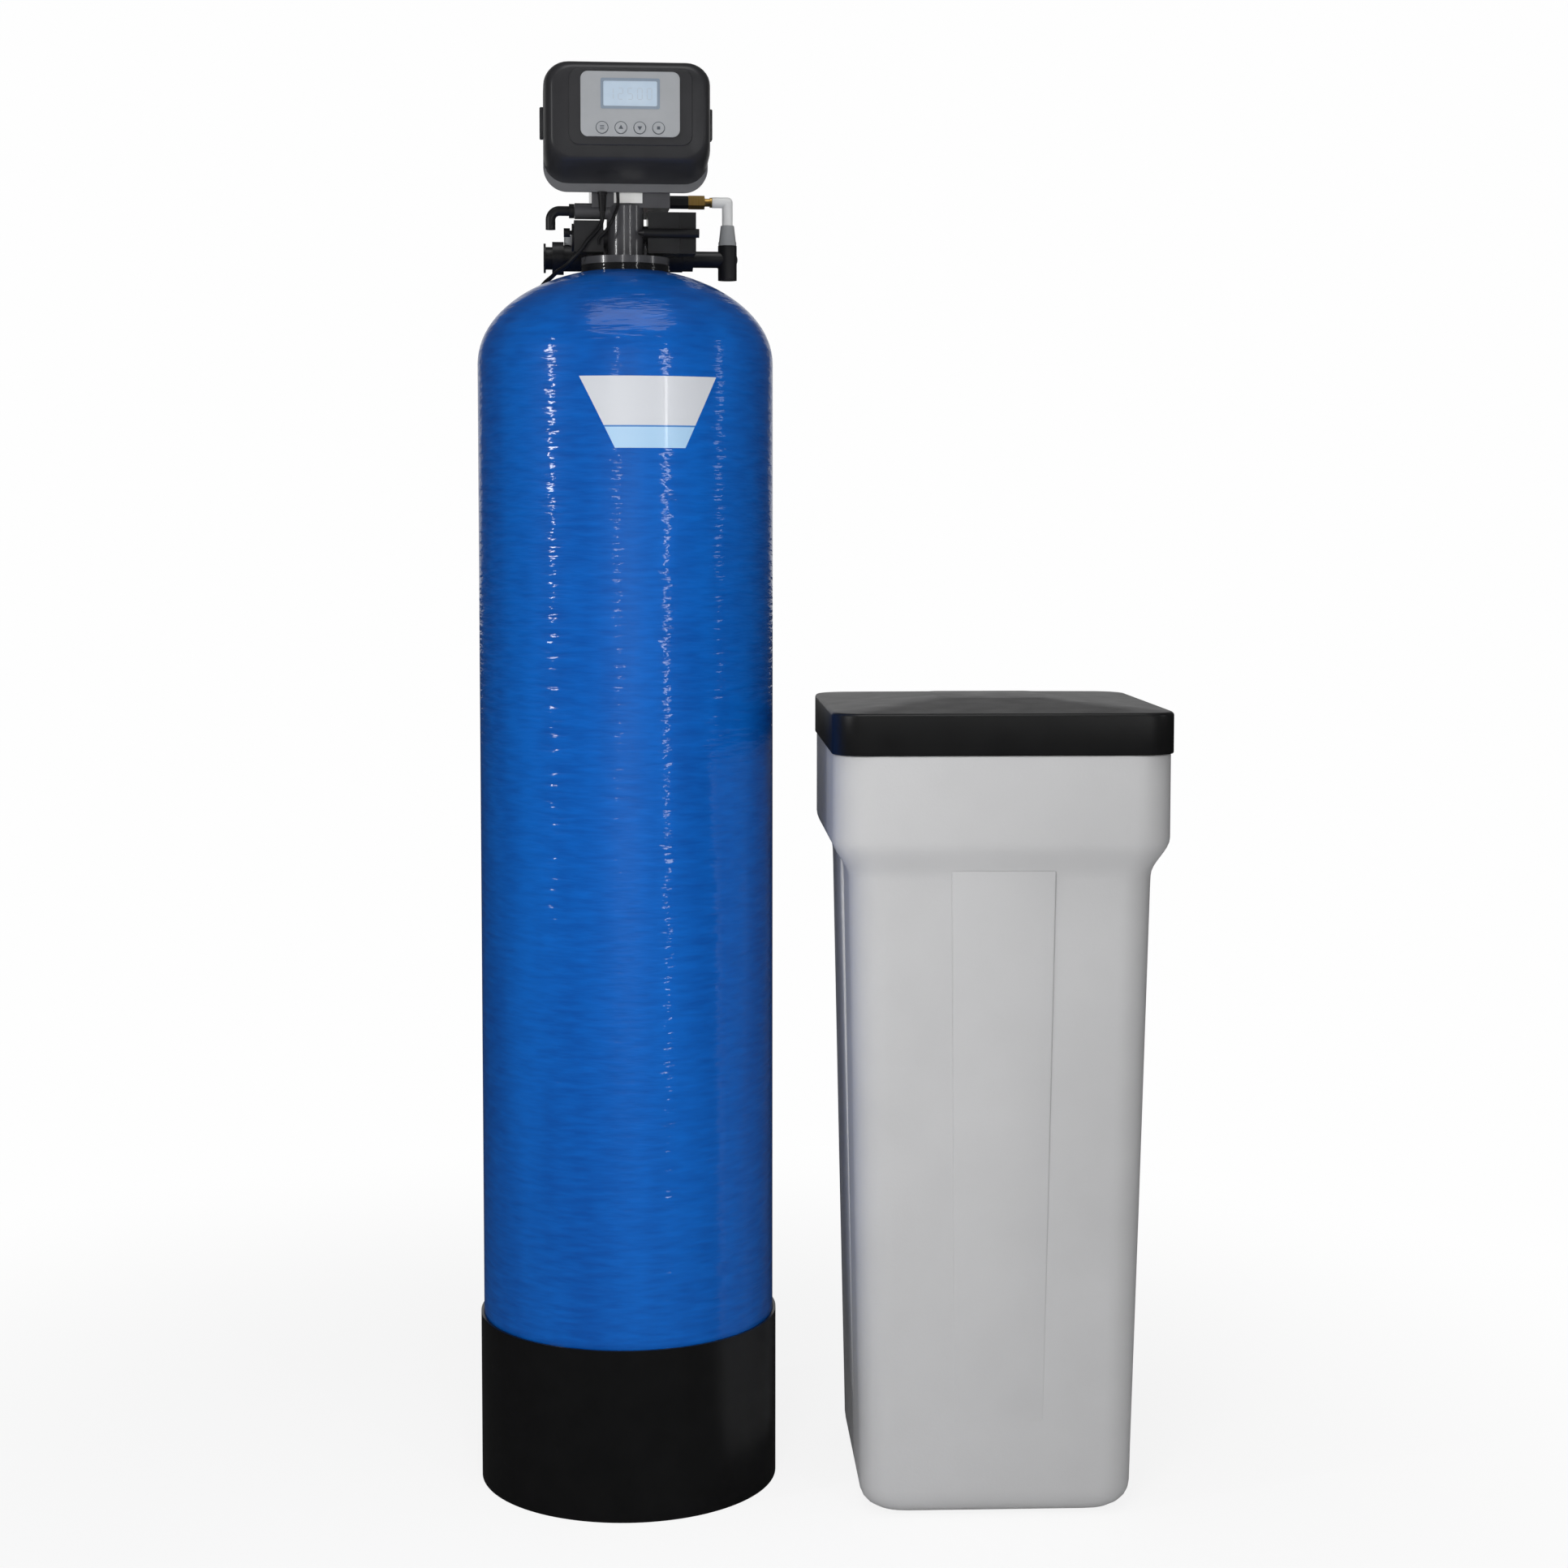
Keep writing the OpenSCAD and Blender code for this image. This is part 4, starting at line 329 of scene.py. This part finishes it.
class SOFTENER_OT_stage(bpy.types.Operator):
    """Camera, lamps, floor and white backdrop"""

    bl_idname = "softener.stage"
    bl_label = "Stage"

    def execute(self, context):
        scene = context.scene
        scene.view_settings.view_transform = "Standard"
        look = scene.softener_colours
        lens = bpy.data.cameras.new("camera")
        lens.lens = scene.softener_sizes.focal
        lens.sensor_width = SENSOR_WIDTH
        lens.shift_x, lens.shift_y = CAMERA_SHIFT
        camera = bpy.data.objects.new("camera", lens)
        camera.location = CAMERA_SPOT
        camera.rotation_euler = CAMERA_TURN
        scene.collection.objects.link(camera)
        scene.camera = camera
        for name, turn, rise, far, wide, tall, watts, mirrored in LAMPS:
            a, e = math.radians(turn), math.radians(rise)
            lamp = bpy.data.lights.new(name, "AREA")
            lamp.shape = "RECTANGLE"
            lamp.size, lamp.size_y, lamp.energy = wide, tall, watts
            obj = bpy.data.objects.new(name, lamp)
            out = Vector((math.sin(a) * math.cos(e), -math.cos(a) * math.cos(e), math.sin(e)))
            obj.location = LAMP_AIM + out * far
            obj.rotation_euler = out.to_track_quat("Z", "Y").to_euler()
            obj.visible_glossy = obj.visible_camera = mirrored
            scene.collection.objects.link(obj)
        world = bpy.data.worlds.new("studio")
        world.use_nodes = True
        tree = world.node_tree
        tree.nodes.clear()
        ray = add(tree, "ShaderNodeLightPath")
        seen = add(tree, "ShaderNodeMath", {0: ray.outputs["Is Camera Ray"],
            1: ray.outputs["Is Transmission Ray"]}, operation="MAXIMUM")
        # Gloss mirrors the white backdrop behind and a dim room elsewhere, so that blue and black stay deep
        way = add(tree, "ShaderNodeSeparateXYZ", {0: add(tree, "ShaderNodeTexCoord").outputs["Generated"]})
        room = add(tree, "ShaderNodeMapRange", {"Value": way.outputs["Y"], "From Min": 0.86, "From Max": 0.97,
            "To Min": GLOSS_ROOM, "To Max": GLOSS_BACKDROP})
        dim = add(tree, "ShaderNodeMapRange", {"Value": ray.outputs["Is Glossy Ray"], "To Min": PLAIN_ROOM,
            "To Max": room.outputs["Result"]})
        level = add(tree, "ShaderNodeMath", {0: seen.outputs[0], 1: dim.outputs["Result"]},
            operation="MAXIMUM")
        light = add(tree, "ShaderNodeBackground", {"Color": tuple(look.backdrop) + (1.0,),
            "Strength": level.outputs[0]})
        add(tree, "ShaderNodeOutputWorld", {"Surface": light.outputs[0]})
        scene.world = world
        floor, tree, shader, place = start("paper_floor", Roughness=0.9)
        # Close to the feet the floor takes their shadow; further out it runs into the white backdrop
        ray = add(tree, "ShaderNodeLightPath")
        # Seen by gloss the floor is a dark grey, a painted shade on its reflection in the glossy parts
        paper = add(tree, "ShaderNodeMix", {"Factor": ray.outputs["Is Glossy Ray"]}, data_type="RGBA")
        paper.inputs["A"].default_value = tuple(look.backdrop) + (1.0,)
        paper.inputs["B"].default_value = linear("#3c3c3c")
        tree.links.new(paper.outputs["Result"], shader.inputs["Base Color"])
        glow = add(tree, "ShaderNodeEmission", {"Color": tuple(look.backdrop) + (1.0,), "Strength": 1.0})
        far = add(tree, "ShaderNodeVectorMath", {0: place}, operation="LENGTH")
        fade = add(tree, "ShaderNodeMapRange", {"Value": far.outputs["Value"], "From Min": 0.5,
            "From Max": 1.6, "To Min": 0.86, "To Max": 1.0}, interpolation_type="SMOOTHSTEP")
        part = add(tree, "ShaderNodeMath", {0: ray.outputs["Is Camera Ray"], 1: fade.outputs["Result"]},
            operation="MULTIPLY")
        mix = add(tree, "ShaderNodeMixShader", {0: part.outputs[0], 1: shader.outputs[0], 2: glow.outputs[0]})
        out = next(n for n in tree.nodes if n.type == "OUTPUT_MATERIAL")
        tree.links.new(mix.outputs[0], out.inputs["Surface"])
        bm = bmesh.new()
        bmesh.ops.create_grid(bm, x_segments=1, y_segments=1, size=FLOOR_HALF)
        data = bpy.data.meshes.new("floor")
        bm.to_mesh(data)
        bm.free()
        data.materials.append(floor)
        obj = bpy.data.objects.new("floor", data)
        obj.location.z = -FLOOR_DROP
        scene.collection.objects.link(obj)
        return {"FINISHED"}


# Middle line of the power lead in millimetres, first above the neck's top face and then above the floor
LEAD_HEAD = ((-25, -24, 58), (-25, -24, 52), (-27, -25, 44), (-33, -28, 35), (-41, -30, 26), (-49, -31, 15),
    (-57, -29, 6), (-65, -23, -1), (-72, -14, -5), (-78, -3, -8), (-84, 9, -12), (-91, 24, -16),
    (-97, 42, -21), (-101, 62, -28), (-102, 82, -37), (-100, 101, -47), (-96, 118, -58),
    (-91, 131, -69), (-87, 141, -83), (-84, 148, -100), (-82, 153, -124))
LEAD_FLOOR = ((-81, 155, 1180), (-81, 156, 1000), (-80, 157, 760), (-80, 157, 520), (-80, 157, 300),
    (-80, 157, 160), (-80, 158, 100), (-80, 160, 60), (-79, 163, 32), (-75, 168, 14), (-67, 176, 5),
    (-58, 184, 4), (-48, 192, 8), (-38, 197, 14), (-30, 198, 16), (-24, 198, 16))
# Middle line of the meter's lead in the head's frame, in millimetres
METER_LEAD = ((-30, -23, 22), (-30, -24, 28), (-25, -26, 33), (-18, -26, 44), (-12, -24, 56), (-9, -21, 66),
    (-9, -21, 80))


def cable(name, points, diameter, material, body="softener"):
    """Round cable through points in metres, as a curve of one open spline."""
    data = bpy.data.curves.new(name, "CURVE")
    data.dimensions = "3D"
    data.bevel_depth = diameter / 2
    data.bevel_resolution = 3
    data.resolution_u = 6
    data.use_fill_caps = True
    line = data.splines.new("BEZIER")
    line.bezier_points.add(len(points) - 1)
    for knot, point in zip(line.bezier_points, points):
        knot.co = point
        knot.handle_left_type = knot.handle_right_type = "AUTO"
    return settle(bpy.data.objects.new(name, data), material, body)


class SOFTENER_OT_leads(bpy.types.Operator):
    """Power lead with its plug-in adapter, and the meter's short lead"""

    bl_idname = "softener.leads"
    bl_label = "Leads"

    def execute(self, context):
        sizes = context.scene.softener_sizes
        # Extruded soft PVC: close to black, with a dull sheen along the run
        sheath = moulded("soft_pvc_sheath", "#101011", "#19191b", 0.46, grain=0.0006, depth=0.00002)
        points = [Vector((x, y, z + 1000 * NECK)) / 1000 for x, y, z in LEAD_HEAD]
        points += [Vector(p) / 1000 for p in LEAD_FLOOR]
        lead = cable("power_lead_run", points, sizes.lead, sheath)
        context.view_layer.update()
        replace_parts(lead, "power_lead")
        run = [HEAD @ (Vector(p) / 1000) for p in METER_LEAD]
        short = cable("meter_lead_run", run, sizes.meter_lead, sheath)
        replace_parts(short, "meter_lead")
        dress(sheath, "strain_relief")
        # Moulded ABS case: near black with a fine matt grain that spreads the light
        dress(moulded("adapter_case_abs", "#161617", "#1e1e20", 0.5, grain=0.0009), "power_adapter")
        return {"FINISHED"}


class SOFTENER_OT_resin_tank(bpy.types.Operator):
    """Wound resin tank, its boot and its bare label"""

    bl_idname = "softener.resin_tank"
    bl_label = "Resin tank"

    def execute(self, context):
        dress(wound_fibreglass(), "tank_shell")
        # Rotomoulded boot: satin black with a soft, broad sheen
        dress(moulded("rotomoulded_black_boot", "#0c0c0d", "#131314", 0.3, grain=0.0012, depth=0.00004),
            "tank_base")
        low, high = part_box("tank_label")
        dress(printed_label(low[2], high[2]), "tank_label")
        return {"FINISHED"}


# Sticker on the valve's shoulder: its size and its middle in the head's frame, in millimetres
STICKER = (32, 0.3, 14)
STICKER_SPOT = (3, -14.25, 76)


class SOFTENER_OT_valve(bpy.types.Operator):
    """Valve body, meter, injector and the pipe fittings round it"""

    bl_idname = "softener.valve"
    bl_label = "Valve and fittings"

    def execute(self, context):
        # Glass-filled plastic off a polished mould: dark grey with a sharp sheen
        dress(moulded("glass_filled_nylon", "#444447", "#565659", 0.22, grain=0.0005, coat=0.45),
            "valve_body")
        # Nylon off a polished mould: black with a clear sheen along its edges
        dress(moulded("polished_black_nylon", "#1b1b1d", "#29292b", 0.28, grain=0.0005, coat=0.2),
            "meter_housing", "injector_housing")
        # Moulded nylon as it leaves a plain mould: black with a duller face
        dress(moulded("moulded_black_nylon", "#161618", "#202022", 0.4), "meter_cap", "injector_cap",
            "injector_clip", "drain_elbow", "bypass_body", "bypass_nuts", "inlet_union",
            "outlet_tee", "refill_socket", "overflow_elbow", "overflow_nut", "drive_cap")
        # Moulded ABS plate behind the cover: a mid grey that shows as a strip below it
        dress(moulded("moulded_grey_abs", "#5e5f62", "#6e6f72", 0.42), "back_plate")
        # Moulded handles dyed right through: a dull, warm red
        dress(moulded("moulded_red_nylon", "#8f231f", "#a8302b", 0.42), "inlet_handle", "outlet_handle")
        # Acetal: dense and smooth, with a soft sheen in grey or white
        dress(moulded("grey_acetal", "#8c8e90", "#a3a5a7", 0.4), "blend_knob", "refill_union")
        dress(moulded("white_acetal", "#dcdddd", "#eceded", 0.38), "refill_elbow")
        # Turned brass: fine lines round the bar, warm and bright
        dress(worked_metal("turned_brass", "#cfa050", "#eccb84", 0.45, (2500.0, 60.0, 60.0)), "brass_nipple")
        # Coated paper, bare and white, on the valve's shoulder
        bm = bmesh.new()
        block(bm, STICKER, STICKER_SPOT, HEAD)
        piece(bm, "shoulder_sticker", moulded("coated_paper", "#e9e9e6", "#f4f4f2", 0.6), "softener")
        return {"FINISHED"}


# Widths and heights across the cover, its lower and upper edge, and the distance in front of the head's axis
COVER = ((184, 89, 216, 24.2), (184, 96, 216, 61.7), (182, 99.8, 214.6, 76), (178, 103, 212, 88.2),
    (173.5, 105.2, 209.6, 94.2), (168.6, 107.2, 207.2, 97.6), (164, 109.4, 204.6, 99.2))
# Sizes of the head's front in millimetres: widths, heights, and middles across and above the neck's top face
PANEL_X = 2
WINDOW_W, WINDOW_H, WINDOW_Z = 94, 62, 163
PAD_W, PAD_H, PAD_X, PAD_Z = 135, 82, 2.5, 162
PAD_EDGE = 0.75
SCREEN_W, SCREEN_H, SCREEN_Z, SCREEN_RIM = 64.5, 33, 176.25, 3
COVER_WALL = 2.5
# Distances in front of the head's axis, in millimetres
COVER_FACE, PANEL_FACE = COVER[-1][3], 103.25
# Latch tab on each side: size, and its middle across, out and up
LATCH = (8, 16, 34)
LATCH_SPOT = (92, -34.2, 153)


def front_level(width, height, x, z, out):
    """Level of a loft on the head's front, from millimetres."""
    return width / 1000, height / 1000, (x / 1000, z / 1000, out / 1000)


def cover_levels(inset, far):
    """Levels of the cover's skin, taken in by a wall's thickness and stopped short of a distance."""
    return [front_level(width - 2 * inset, high - low - 2 * inset, 0, (low + high) / 2, min(out, far))
        for width, low, high, out in COVER]


class SOFTENER_OT_cover(bpy.types.Operator):
    """Cover of the control head with its raised pad and latch tabs"""

    bl_idname = "softener.cover"
    bl_label = "Cover"

    def execute(self, context):
        wide = context.scene.softener_sizes.cover
        # Moulded ABS with a fine spark grain: soft dark grey where the light falls, black in the shade
        skin = moulded("spark_grained_abs", "#2a2a2c", "#353538", 0.38, grain=0.0006, depth=0.00005)
        bm = bmesh.new()
        within = COVER_FACE - COVER_WALL
        outside = cover_levels(0, COVER_FACE)
        window = [front_level(WINDOW_W, WINDOW_H, PANEL_X, WINDOW_Z, out) for out in (COVER_FACE, within)]
        inside = cover_levels(COVER_WALL, within)[::-1]
        first = rounded_plate(bm, wide, outside[0][1], 0.027)
        last = loft(bm, first, outside + window + inside)
        rims = first.edges[:] + last.edges[:]
        bmesh.ops.delete(bm, geom=[first, last], context="FACES_ONLY")
        bmesh.ops.bridge_loops(bm, edges=rims)
        upright(bm)
        for side in (-1, 1):
            made = block(bm, LATCH, (side * LATCH_SPOT[0],) + LATCH_SPOT[1:], HEAD)
            edges = {e for v in made for e in v.link_edges}
            bmesh.ops.bevel(bm, geom=list(edges), offset=0.0012, affect="EDGES", segments=2, profile=0.5,
                material=-1)
        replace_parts(piece(bm, "cover_skin", skin, "cover"), "front_cover")
        # Raised pad that carries the panel
        bm = bmesh.new()
        pad = rounded_plate(bm, PAD_W / 1000, PAD_H / 1000, 0.011)
        root, edge, top = COVER_FACE - 0.3, COVER_FACE + 1.2, COVER_FACE + 2
        levels = [front_level(PAD_W, PAD_H, PAD_X, PAD_Z, root),
            front_level(PAD_W, PAD_H, PAD_X, PAD_Z, edge),
            front_level(PAD_W - 2 * PAD_EDGE, PAD_H - 2 * PAD_EDGE, PAD_X, PAD_Z, top)]
        levels += [front_level(WINDOW_W, WINDOW_H, PANEL_X, WINDOW_Z, out) for out in (top, root)]
        bmesh.ops.delete(bm, geom=[loft(bm, pad, levels), pad], context="FACES_ONLY")
        upright(bm)
        piece(bm, "cover_pad", skin, "cover")
        return {"FINISHED"}


# Lit strokes of the digits: top, upper right, lower right, bottom, lower left, upper left, middle
STROKES = {"0": "1111110", "1": "0110000", "2": "1101101", "5": "1011011"}
# Width, height and middle of each stroke about the digit's middle, in millimetres and in the same order
BARS = ((4, 1, 0, 6), (1, 5, 2.5, 3), (1, 5, 2.5, -3), (4, 1, 0, -6), (1, 5, -2.5, -3), (1, 5, -2.5, 3),
    (4, 1, 0, 0))
DIGIT_PITCH, DIGIT_Y, DIGIT_Z = 10.5, -102.95, 176
BUTTON_PITCH, BUTTON_Z = 20.5, 139.5
# Radius of the dark ring round a button, a painted shade of its groove, in metres, and the button's face in
# front of the panel in millimetres
RING_RADIUS = 0.0069
SIGN_FACE = -1.2


class SOFTENER_OT_display(bpy.types.Operator):
    """Silver panel, screen with faint plain digits, and four buttons with rings of painted groove shade"""

    bl_idname = "softener.display"
    bl_label = "Display"

    def execute(self, context):
        # Metallic lacquer over plastic: a bright, even silver with a fine fleck
        silver = moulded("silver_lacquer", "#a9acb0", "#b9bcc0", 0.36, grain=0.0004, depth=0.00001, coat=0.2,
            Metallic=0.3)
        dress(silver, "display_panel", "button_menu", "button_up", "button_down", "button_set")
        # Back-lit screen: pale blue-white that glows a little
        glass, tree, shader, place = start("back_lit_screen", Roughness=0.12, Coat_Weight=0.5,
            Emission_Strength=0.06)
        cloud = add(tree, "ShaderNodeTexNoise", {"Vector": place, "Scale": 60.0})
        tone = shade(tree, cloud.outputs["Fac"], "#b4c6d8", "#c6d5e3")
        tree.links.new(tone, shader.inputs["Base Color"])
        tree.links.new(tone, shader.inputs["Emission Color"])
        dress(glass, "lcd_screen")
        # Green solder mask over copper tracks
        dress(moulded("solder_mask", "#1f5a32", "#2f7544", 0.3, grain=0.002, patch=0.006), "pc_board")
        # Screen printing: flat and dark, also laid on the panel as a painted shade of the grooves round the
        # buttons. Liquid-crystal strokes: hardly darker than the glass
        ink_and_groove_shade = moulded("printed_ink_and_groove_shade", "#4a5058", "#5a6068", 0.5)
        faint = moulded("liquid_crystal_strokes", "#aebccb", "#bac7d4", 0.4)
        # Frame of the screen: painted a slate blue with a low sheen
        bm = bmesh.new()
        frame_face = rounded_plate(bm, SCREEN_W / 1000, SCREEN_H / 1000, 0.002)
        rims = ((0, -0.15), (0, 0.35), (2 * SCREEN_RIM, 0.35), (2 * SCREEN_RIM, -0.35))
        levels = [front_level(SCREEN_W - less, SCREEN_H - less, PANEL_X, SCREEN_Z, PANEL_FACE + out)
            for less, out in rims]
        bmesh.ops.delete(bm, geom=[loft(bm, frame_face, levels), frame_face], context="FACES_ONLY")
        upright(bm)
        piece(bm, "screen_frame", moulded("painted_screen_frame", "#7d8b9b", "#8d9aa9", 0.35), "cover")
        # Plain digits, hardly darker than the screen
        bm = bmesh.new()
        for i, digit in enumerate("12500"):
            x = PANEL_X + (i - 2) * DIGIT_PITCH
            for lit, (w, h, dx, dz) in zip(STROKES[digit], BARS):
                if lit == "1":
                    block(bm, (w, 0.1, h), (x + dx, DIGIT_Y, DIGIT_Z + dz), HEAD)
        piece(bm, "screen_digits", faint, "cover")
        for i, name in enumerate(("menu", "up", "down", "set")):
            x = PANEL_X + (i - 1.5) * BUTTON_PITCH
            spot = HEAD @ Matrix.Translation(Vector((x, -PANEL_FACE, BUTTON_Z)) / 1000)
            turned = spot @ Matrix.Rotation(math.pi / 2, 4, "X")
            # Dark ring round the button, a painted shade of the groove between the button and the panel
            bm = bmesh.new()
            made = bmesh.ops.create_circle(bm, cap_ends=True, radius=RING_RADIUS, segments=48)["verts"]
            ring = made[0].link_faces[0]
            levels = [(1, 1, (0, 0, -0.0002)), (1, 1, (0, 0, 0.0001)), (0.9, 0.9, (0, 0, 0.0001)),
                (0.9, 0.9, (0, 0, -0.0002))]
            bmesh.ops.delete(bm, geom=[loft(bm, ring, levels), ring], context="FACES_ONLY")
            bmesh.ops.transform(bm, matrix=turned, verts=bm.verts)
            piece(bm, f"button_groove_shade_{name}", ink_and_groove_shade, "cover")
            # Plain sign on the button's face
            bm = bmesh.new()
            if name == "menu":
                for dz in (-1.8, 0, 1.8):
                    block(bm, (4.6, 0.15, 0.8), (0, SIGN_FACE, dz), spot)
            elif name == "set":
                block(bm, (3.4, 0.15, 3.4), (0, SIGN_FACE, 0), spot)
            else:
                made = bmesh.ops.create_cone(bm, cap_ends=True, segments=3, radius1=0.003, radius2=0.003,
                    depth=0.00015)["verts"]
                flip = Matrix.Rotation(math.pi if name == "down" else 0, 4, "Z")
                sign = turned @ Matrix.Translation((0, 0, -SIGN_FACE / 1000)) @ flip
                bmesh.ops.transform(bm, matrix=sign, verts=made)
            piece(bm, f"button_sign_{name}", ink_and_groove_shade, f"button_{name}")
        return {"FINISHED"}


class SOFTENER_OT_drive(bpy.types.Operator):
    """Drive train, piston and the other pieces held inside the valve and the tank"""

    bl_idname = "softener.drive"
    bl_label = "Drive and inside"

    def execute(self, context):
        # Natural acetal: creamy and slightly waxy
        dress(moulded("natural_acetal", "#ddd6c2", "#ebe5d4", 0.38, coat=0.1), "main_gear", "idler_gear",
            "motor_pinion", "piston")
        # Brushed steel can: fine lines round it that draw the light into a band
        dress(worked_metal("brushed_steel_can", "#7f8287", "#a0a3a8", 0.34, (60.0, 2500.0, 60.0)),
            "drive_motor")
        # Polypropylene: milky white, or blue where it is dyed, with a soft sheen
        dress(moulded("white_polypropylene", "#d9d9d7", "#e8e8e6", 0.45), "drive_bracket", "brine_well",
            "well_cap", "brine_pickup", "brine_float", "riser_tube", "lower_basket", "upper_basket")
        dress(moulded("blue_polypropylene", "#35629c", "#4a7bbd", 0.35), "meter_turbine", "salt_platform")
        # Acetal dyed red: smooth and dense
        dress(moulded("red_acetal", "#a03630", "#bb4a42", 0.4), "injector_nozzle")
        # Moulded rubber: black and matt
        dress(moulded("moulded_rubber", "#0e0e0f", "#161617", 0.65), "neck_seal", "spacer_stack",
            "line_grommet")
        # Amber resin beads of 1 mm, and washed gravel of 5 mm in sandy tones
        dress(beads("resin_beads", 0.001, "#8f5f22", "#d09a4a", 0.35), "resin_bed")
        dress(beads("washed_gravel", 0.005, "#8f8470", "#cfc4ae", 0.7), "gravel_bed")
        return {"FINISHED"}


BRINE_SPOT = Vector((0.41, -0.02, 0))
# Widths and heights on the brine tank and its lid, in millimetres, from the foot up
FOOT_WIDTH, FOOT_RADIUS = 303, 32
BODY = ((305, 80), (317, 340), (332.5, 700))
FLARE_FROM, FLARE_WIDTH, FLARE_Z, FLARE_RISE = 333.4, 36.6, 714, 44
COLLAR_Z, COLLAR_TOP = 800, 851
RIM_WIDTH, RIM_ROOT, RIM_TOP = 365, 888, 891
HOLLOW = ((357, 891), (357, 847), (362, 839), (362, 757), (326, 719), (297, 40), (250, 6))
LID_INSIDE = ((357, 891.4), (367, 891.3), (367, 852.2), (368, 851.2))
LID_FOOT, LID_EDGE, LID_EDGE_TOP, LID_ROUND = 851.2, 852.2, 896.6, 4
LID_CROWN = ((130, 904.6), (122, 905.2))
# Raised panel on a side: size, middle, and how its lower end narrows and sinks into the wall
RAISED = (114, 20, 614)
RAISED_SPOT = (0, -160, 417)
RAISED_FOOT_WIDTH, RAISED_SINK, RAISED_EDGE = 100, 0.0166, 0.0022


def square_levels(rows):
    """Levels of a square loft, from widths and heights in millimetres."""
    return [(w / 1000, w / 1000, (0, 0, z / 1000)) for w, z in rows]


class SOFTENER_OT_brine_tank(bpy.types.Operator):
    """Square brine tank with its collar and raised panels, and its lid"""

    bl_idname = "softener.brine_tank"
    bl_label = "Brine tank and lid"

    def execute(self, context):
        sizes = context.scene.softener_sizes
        turns = [math.pi / 2 * k / 6 for k in range(7)]
        rows = [(FOOT_WIDTH - 2 * FOOT_RADIUS * (1 - math.sin(a)), FOOT_RADIUS * (1 - math.cos(a)))
            for a in turns]
        rows += BODY
        for t in (k / 8 for k in range(9)):
            rows.append((FLARE_FROM + FLARE_WIDTH * t * t * (3 - 2 * t), FLARE_Z + FLARE_RISE * t))
        collar = 1000 * sizes.collar
        rows += [(collar, COLLAR_Z)] + rounding(collar, COLLAR_TOP, 2)
        rows += [(RIM_WIDTH, COLLAR_TOP), (RIM_WIDTH, RIM_ROOT)] + rounding(RIM_WIDTH, RIM_TOP, 1.5, 2)
        rows += HOLLOW
        # Rotomoulded polyethylene: pale grey, faintly waxy, with a fine orange peel
        skin = moulded("rotomoulded_polyethylene", "#b9b9ba", "#c6c6c7", 0.5, grain=0.0028, depth=0.0002,
            patch=0.12)
        bm = bmesh.new()
        levels = square_levels(rows)
        loft(bm, rounded_plate(bm, levels[0][0], levels[0][0], 0.0284), levels)
        # Raised panel on each side, which runs out into the wall at its lower end
        for turn in range(4):
            made = block(bm, RAISED, RAISED_SPOT)
            low = [v for v in made if v.co.z < 0.3]
            bmesh.ops.scale(bm, vec=(RAISED_FOOT_WIDTH / RAISED[0], 1, 1), verts=low)
            bmesh.ops.translate(bm, vec=(0, RAISED_SINK, 0), verts=low)
            edges = {e for v in made for e in v.link_edges if abs(e.verts[0].co.z - e.verts[1].co.z) > 0.3}
            made = bmesh.ops.bevel(bm, geom=list(edges), offset=RAISED_EDGE, affect="EDGES", segments=3,
                profile=0.5, material=-1)["verts"]
            found = set(made)
            grown = set()
            while found != grown:
                grown = set(found)
                found |= {e.other_vert(v) for v in grown for e in v.link_edges}
            bmesh.ops.rotate(bm, cent=(0, 0, 0), matrix=Matrix.Rotation(math.pi / 2 * turn, 3, "Z"),
                verts=list(found))
        bmesh.ops.translate(bm, vec=BRINE_SPOT, verts=bm.verts)
        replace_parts(piece(bm, "brine_tank_skin", skin, "softener"), "brine_tank")
        # Injection-moulded lid: black with a low sheen that greys its sloping top
        skin = moulded("moulded_black_polyethylene", "#101011", "#161617", 0.4, grain=0.0016, depth=0.00006)
        wide = 1000 * sizes.lid
        rows = list(LID_INSIDE) + [(wide - 1, LID_FOOT), (wide, LID_EDGE)]
        rows += rounding(wide, LID_EDGE_TOP, LID_ROUND) + list(LID_CROWN)
        bm = bmesh.new()
        levels = square_levels(rows)
        loft(bm, rounded_plate(bm, levels[0][0], levels[0][0], 0.035), levels)
        bmesh.ops.translate(bm, vec=BRINE_SPOT, verts=bm.verts)
        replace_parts(piece(bm, "brine_lid_skin", skin, "brine_lid"), "brine_lid")
        return {"FINISHED"}


STEPS = (SOFTENER_OT_stage, SOFTENER_OT_leads, SOFTENER_OT_resin_tank, SOFTENER_OT_valve, SOFTENER_OT_cover,
    SOFTENER_OT_display, SOFTENER_OT_drive, SOFTENER_OT_brine_tank)


class SOFTENER_PT_panel(bpy.types.Panel):
    """Lists the steps of the dressing with their sizes and colours"""

    bl_idname = "SOFTENER_PT_panel"
    bl_label = "Water softener"
    bl_space_type = "VIEW_3D"
    bl_region_type = "UI"
    bl_category = "Softener"

    def draw(self, context):
        for step in STEPS:
            self.layout.operator(step.bl_idname)
        for group in (context.scene.softener_sizes, context.scene.softener_colours):
            for name in group.__annotations__:
                self.layout.prop(group, name)


CLASSES = (SoftenerSizes, SoftenerColours) + STEPS + (SOFTENER_PT_panel,)


def register():
    for kind in CLASSES:
        bpy.utils.register_class(kind)
    bpy.types.Scene.softener_sizes = bpy.props.PointerProperty(type=SoftenerSizes)
    bpy.types.Scene.softener_colours = bpy.props.PointerProperty(type=SoftenerColours)


def unregister():
    del bpy.types.Scene.softener_colours
    del bpy.types.Scene.softener_sizes
    for kind in reversed(CLASSES):
        bpy.utils.unregister_class(kind)


def main():
    register()
    for step in STEPS:
        group, name = step.bl_idname.split(".")
        getattr(getattr(bpy.ops, group), name)()


if __name__ == "__main__":
    main()
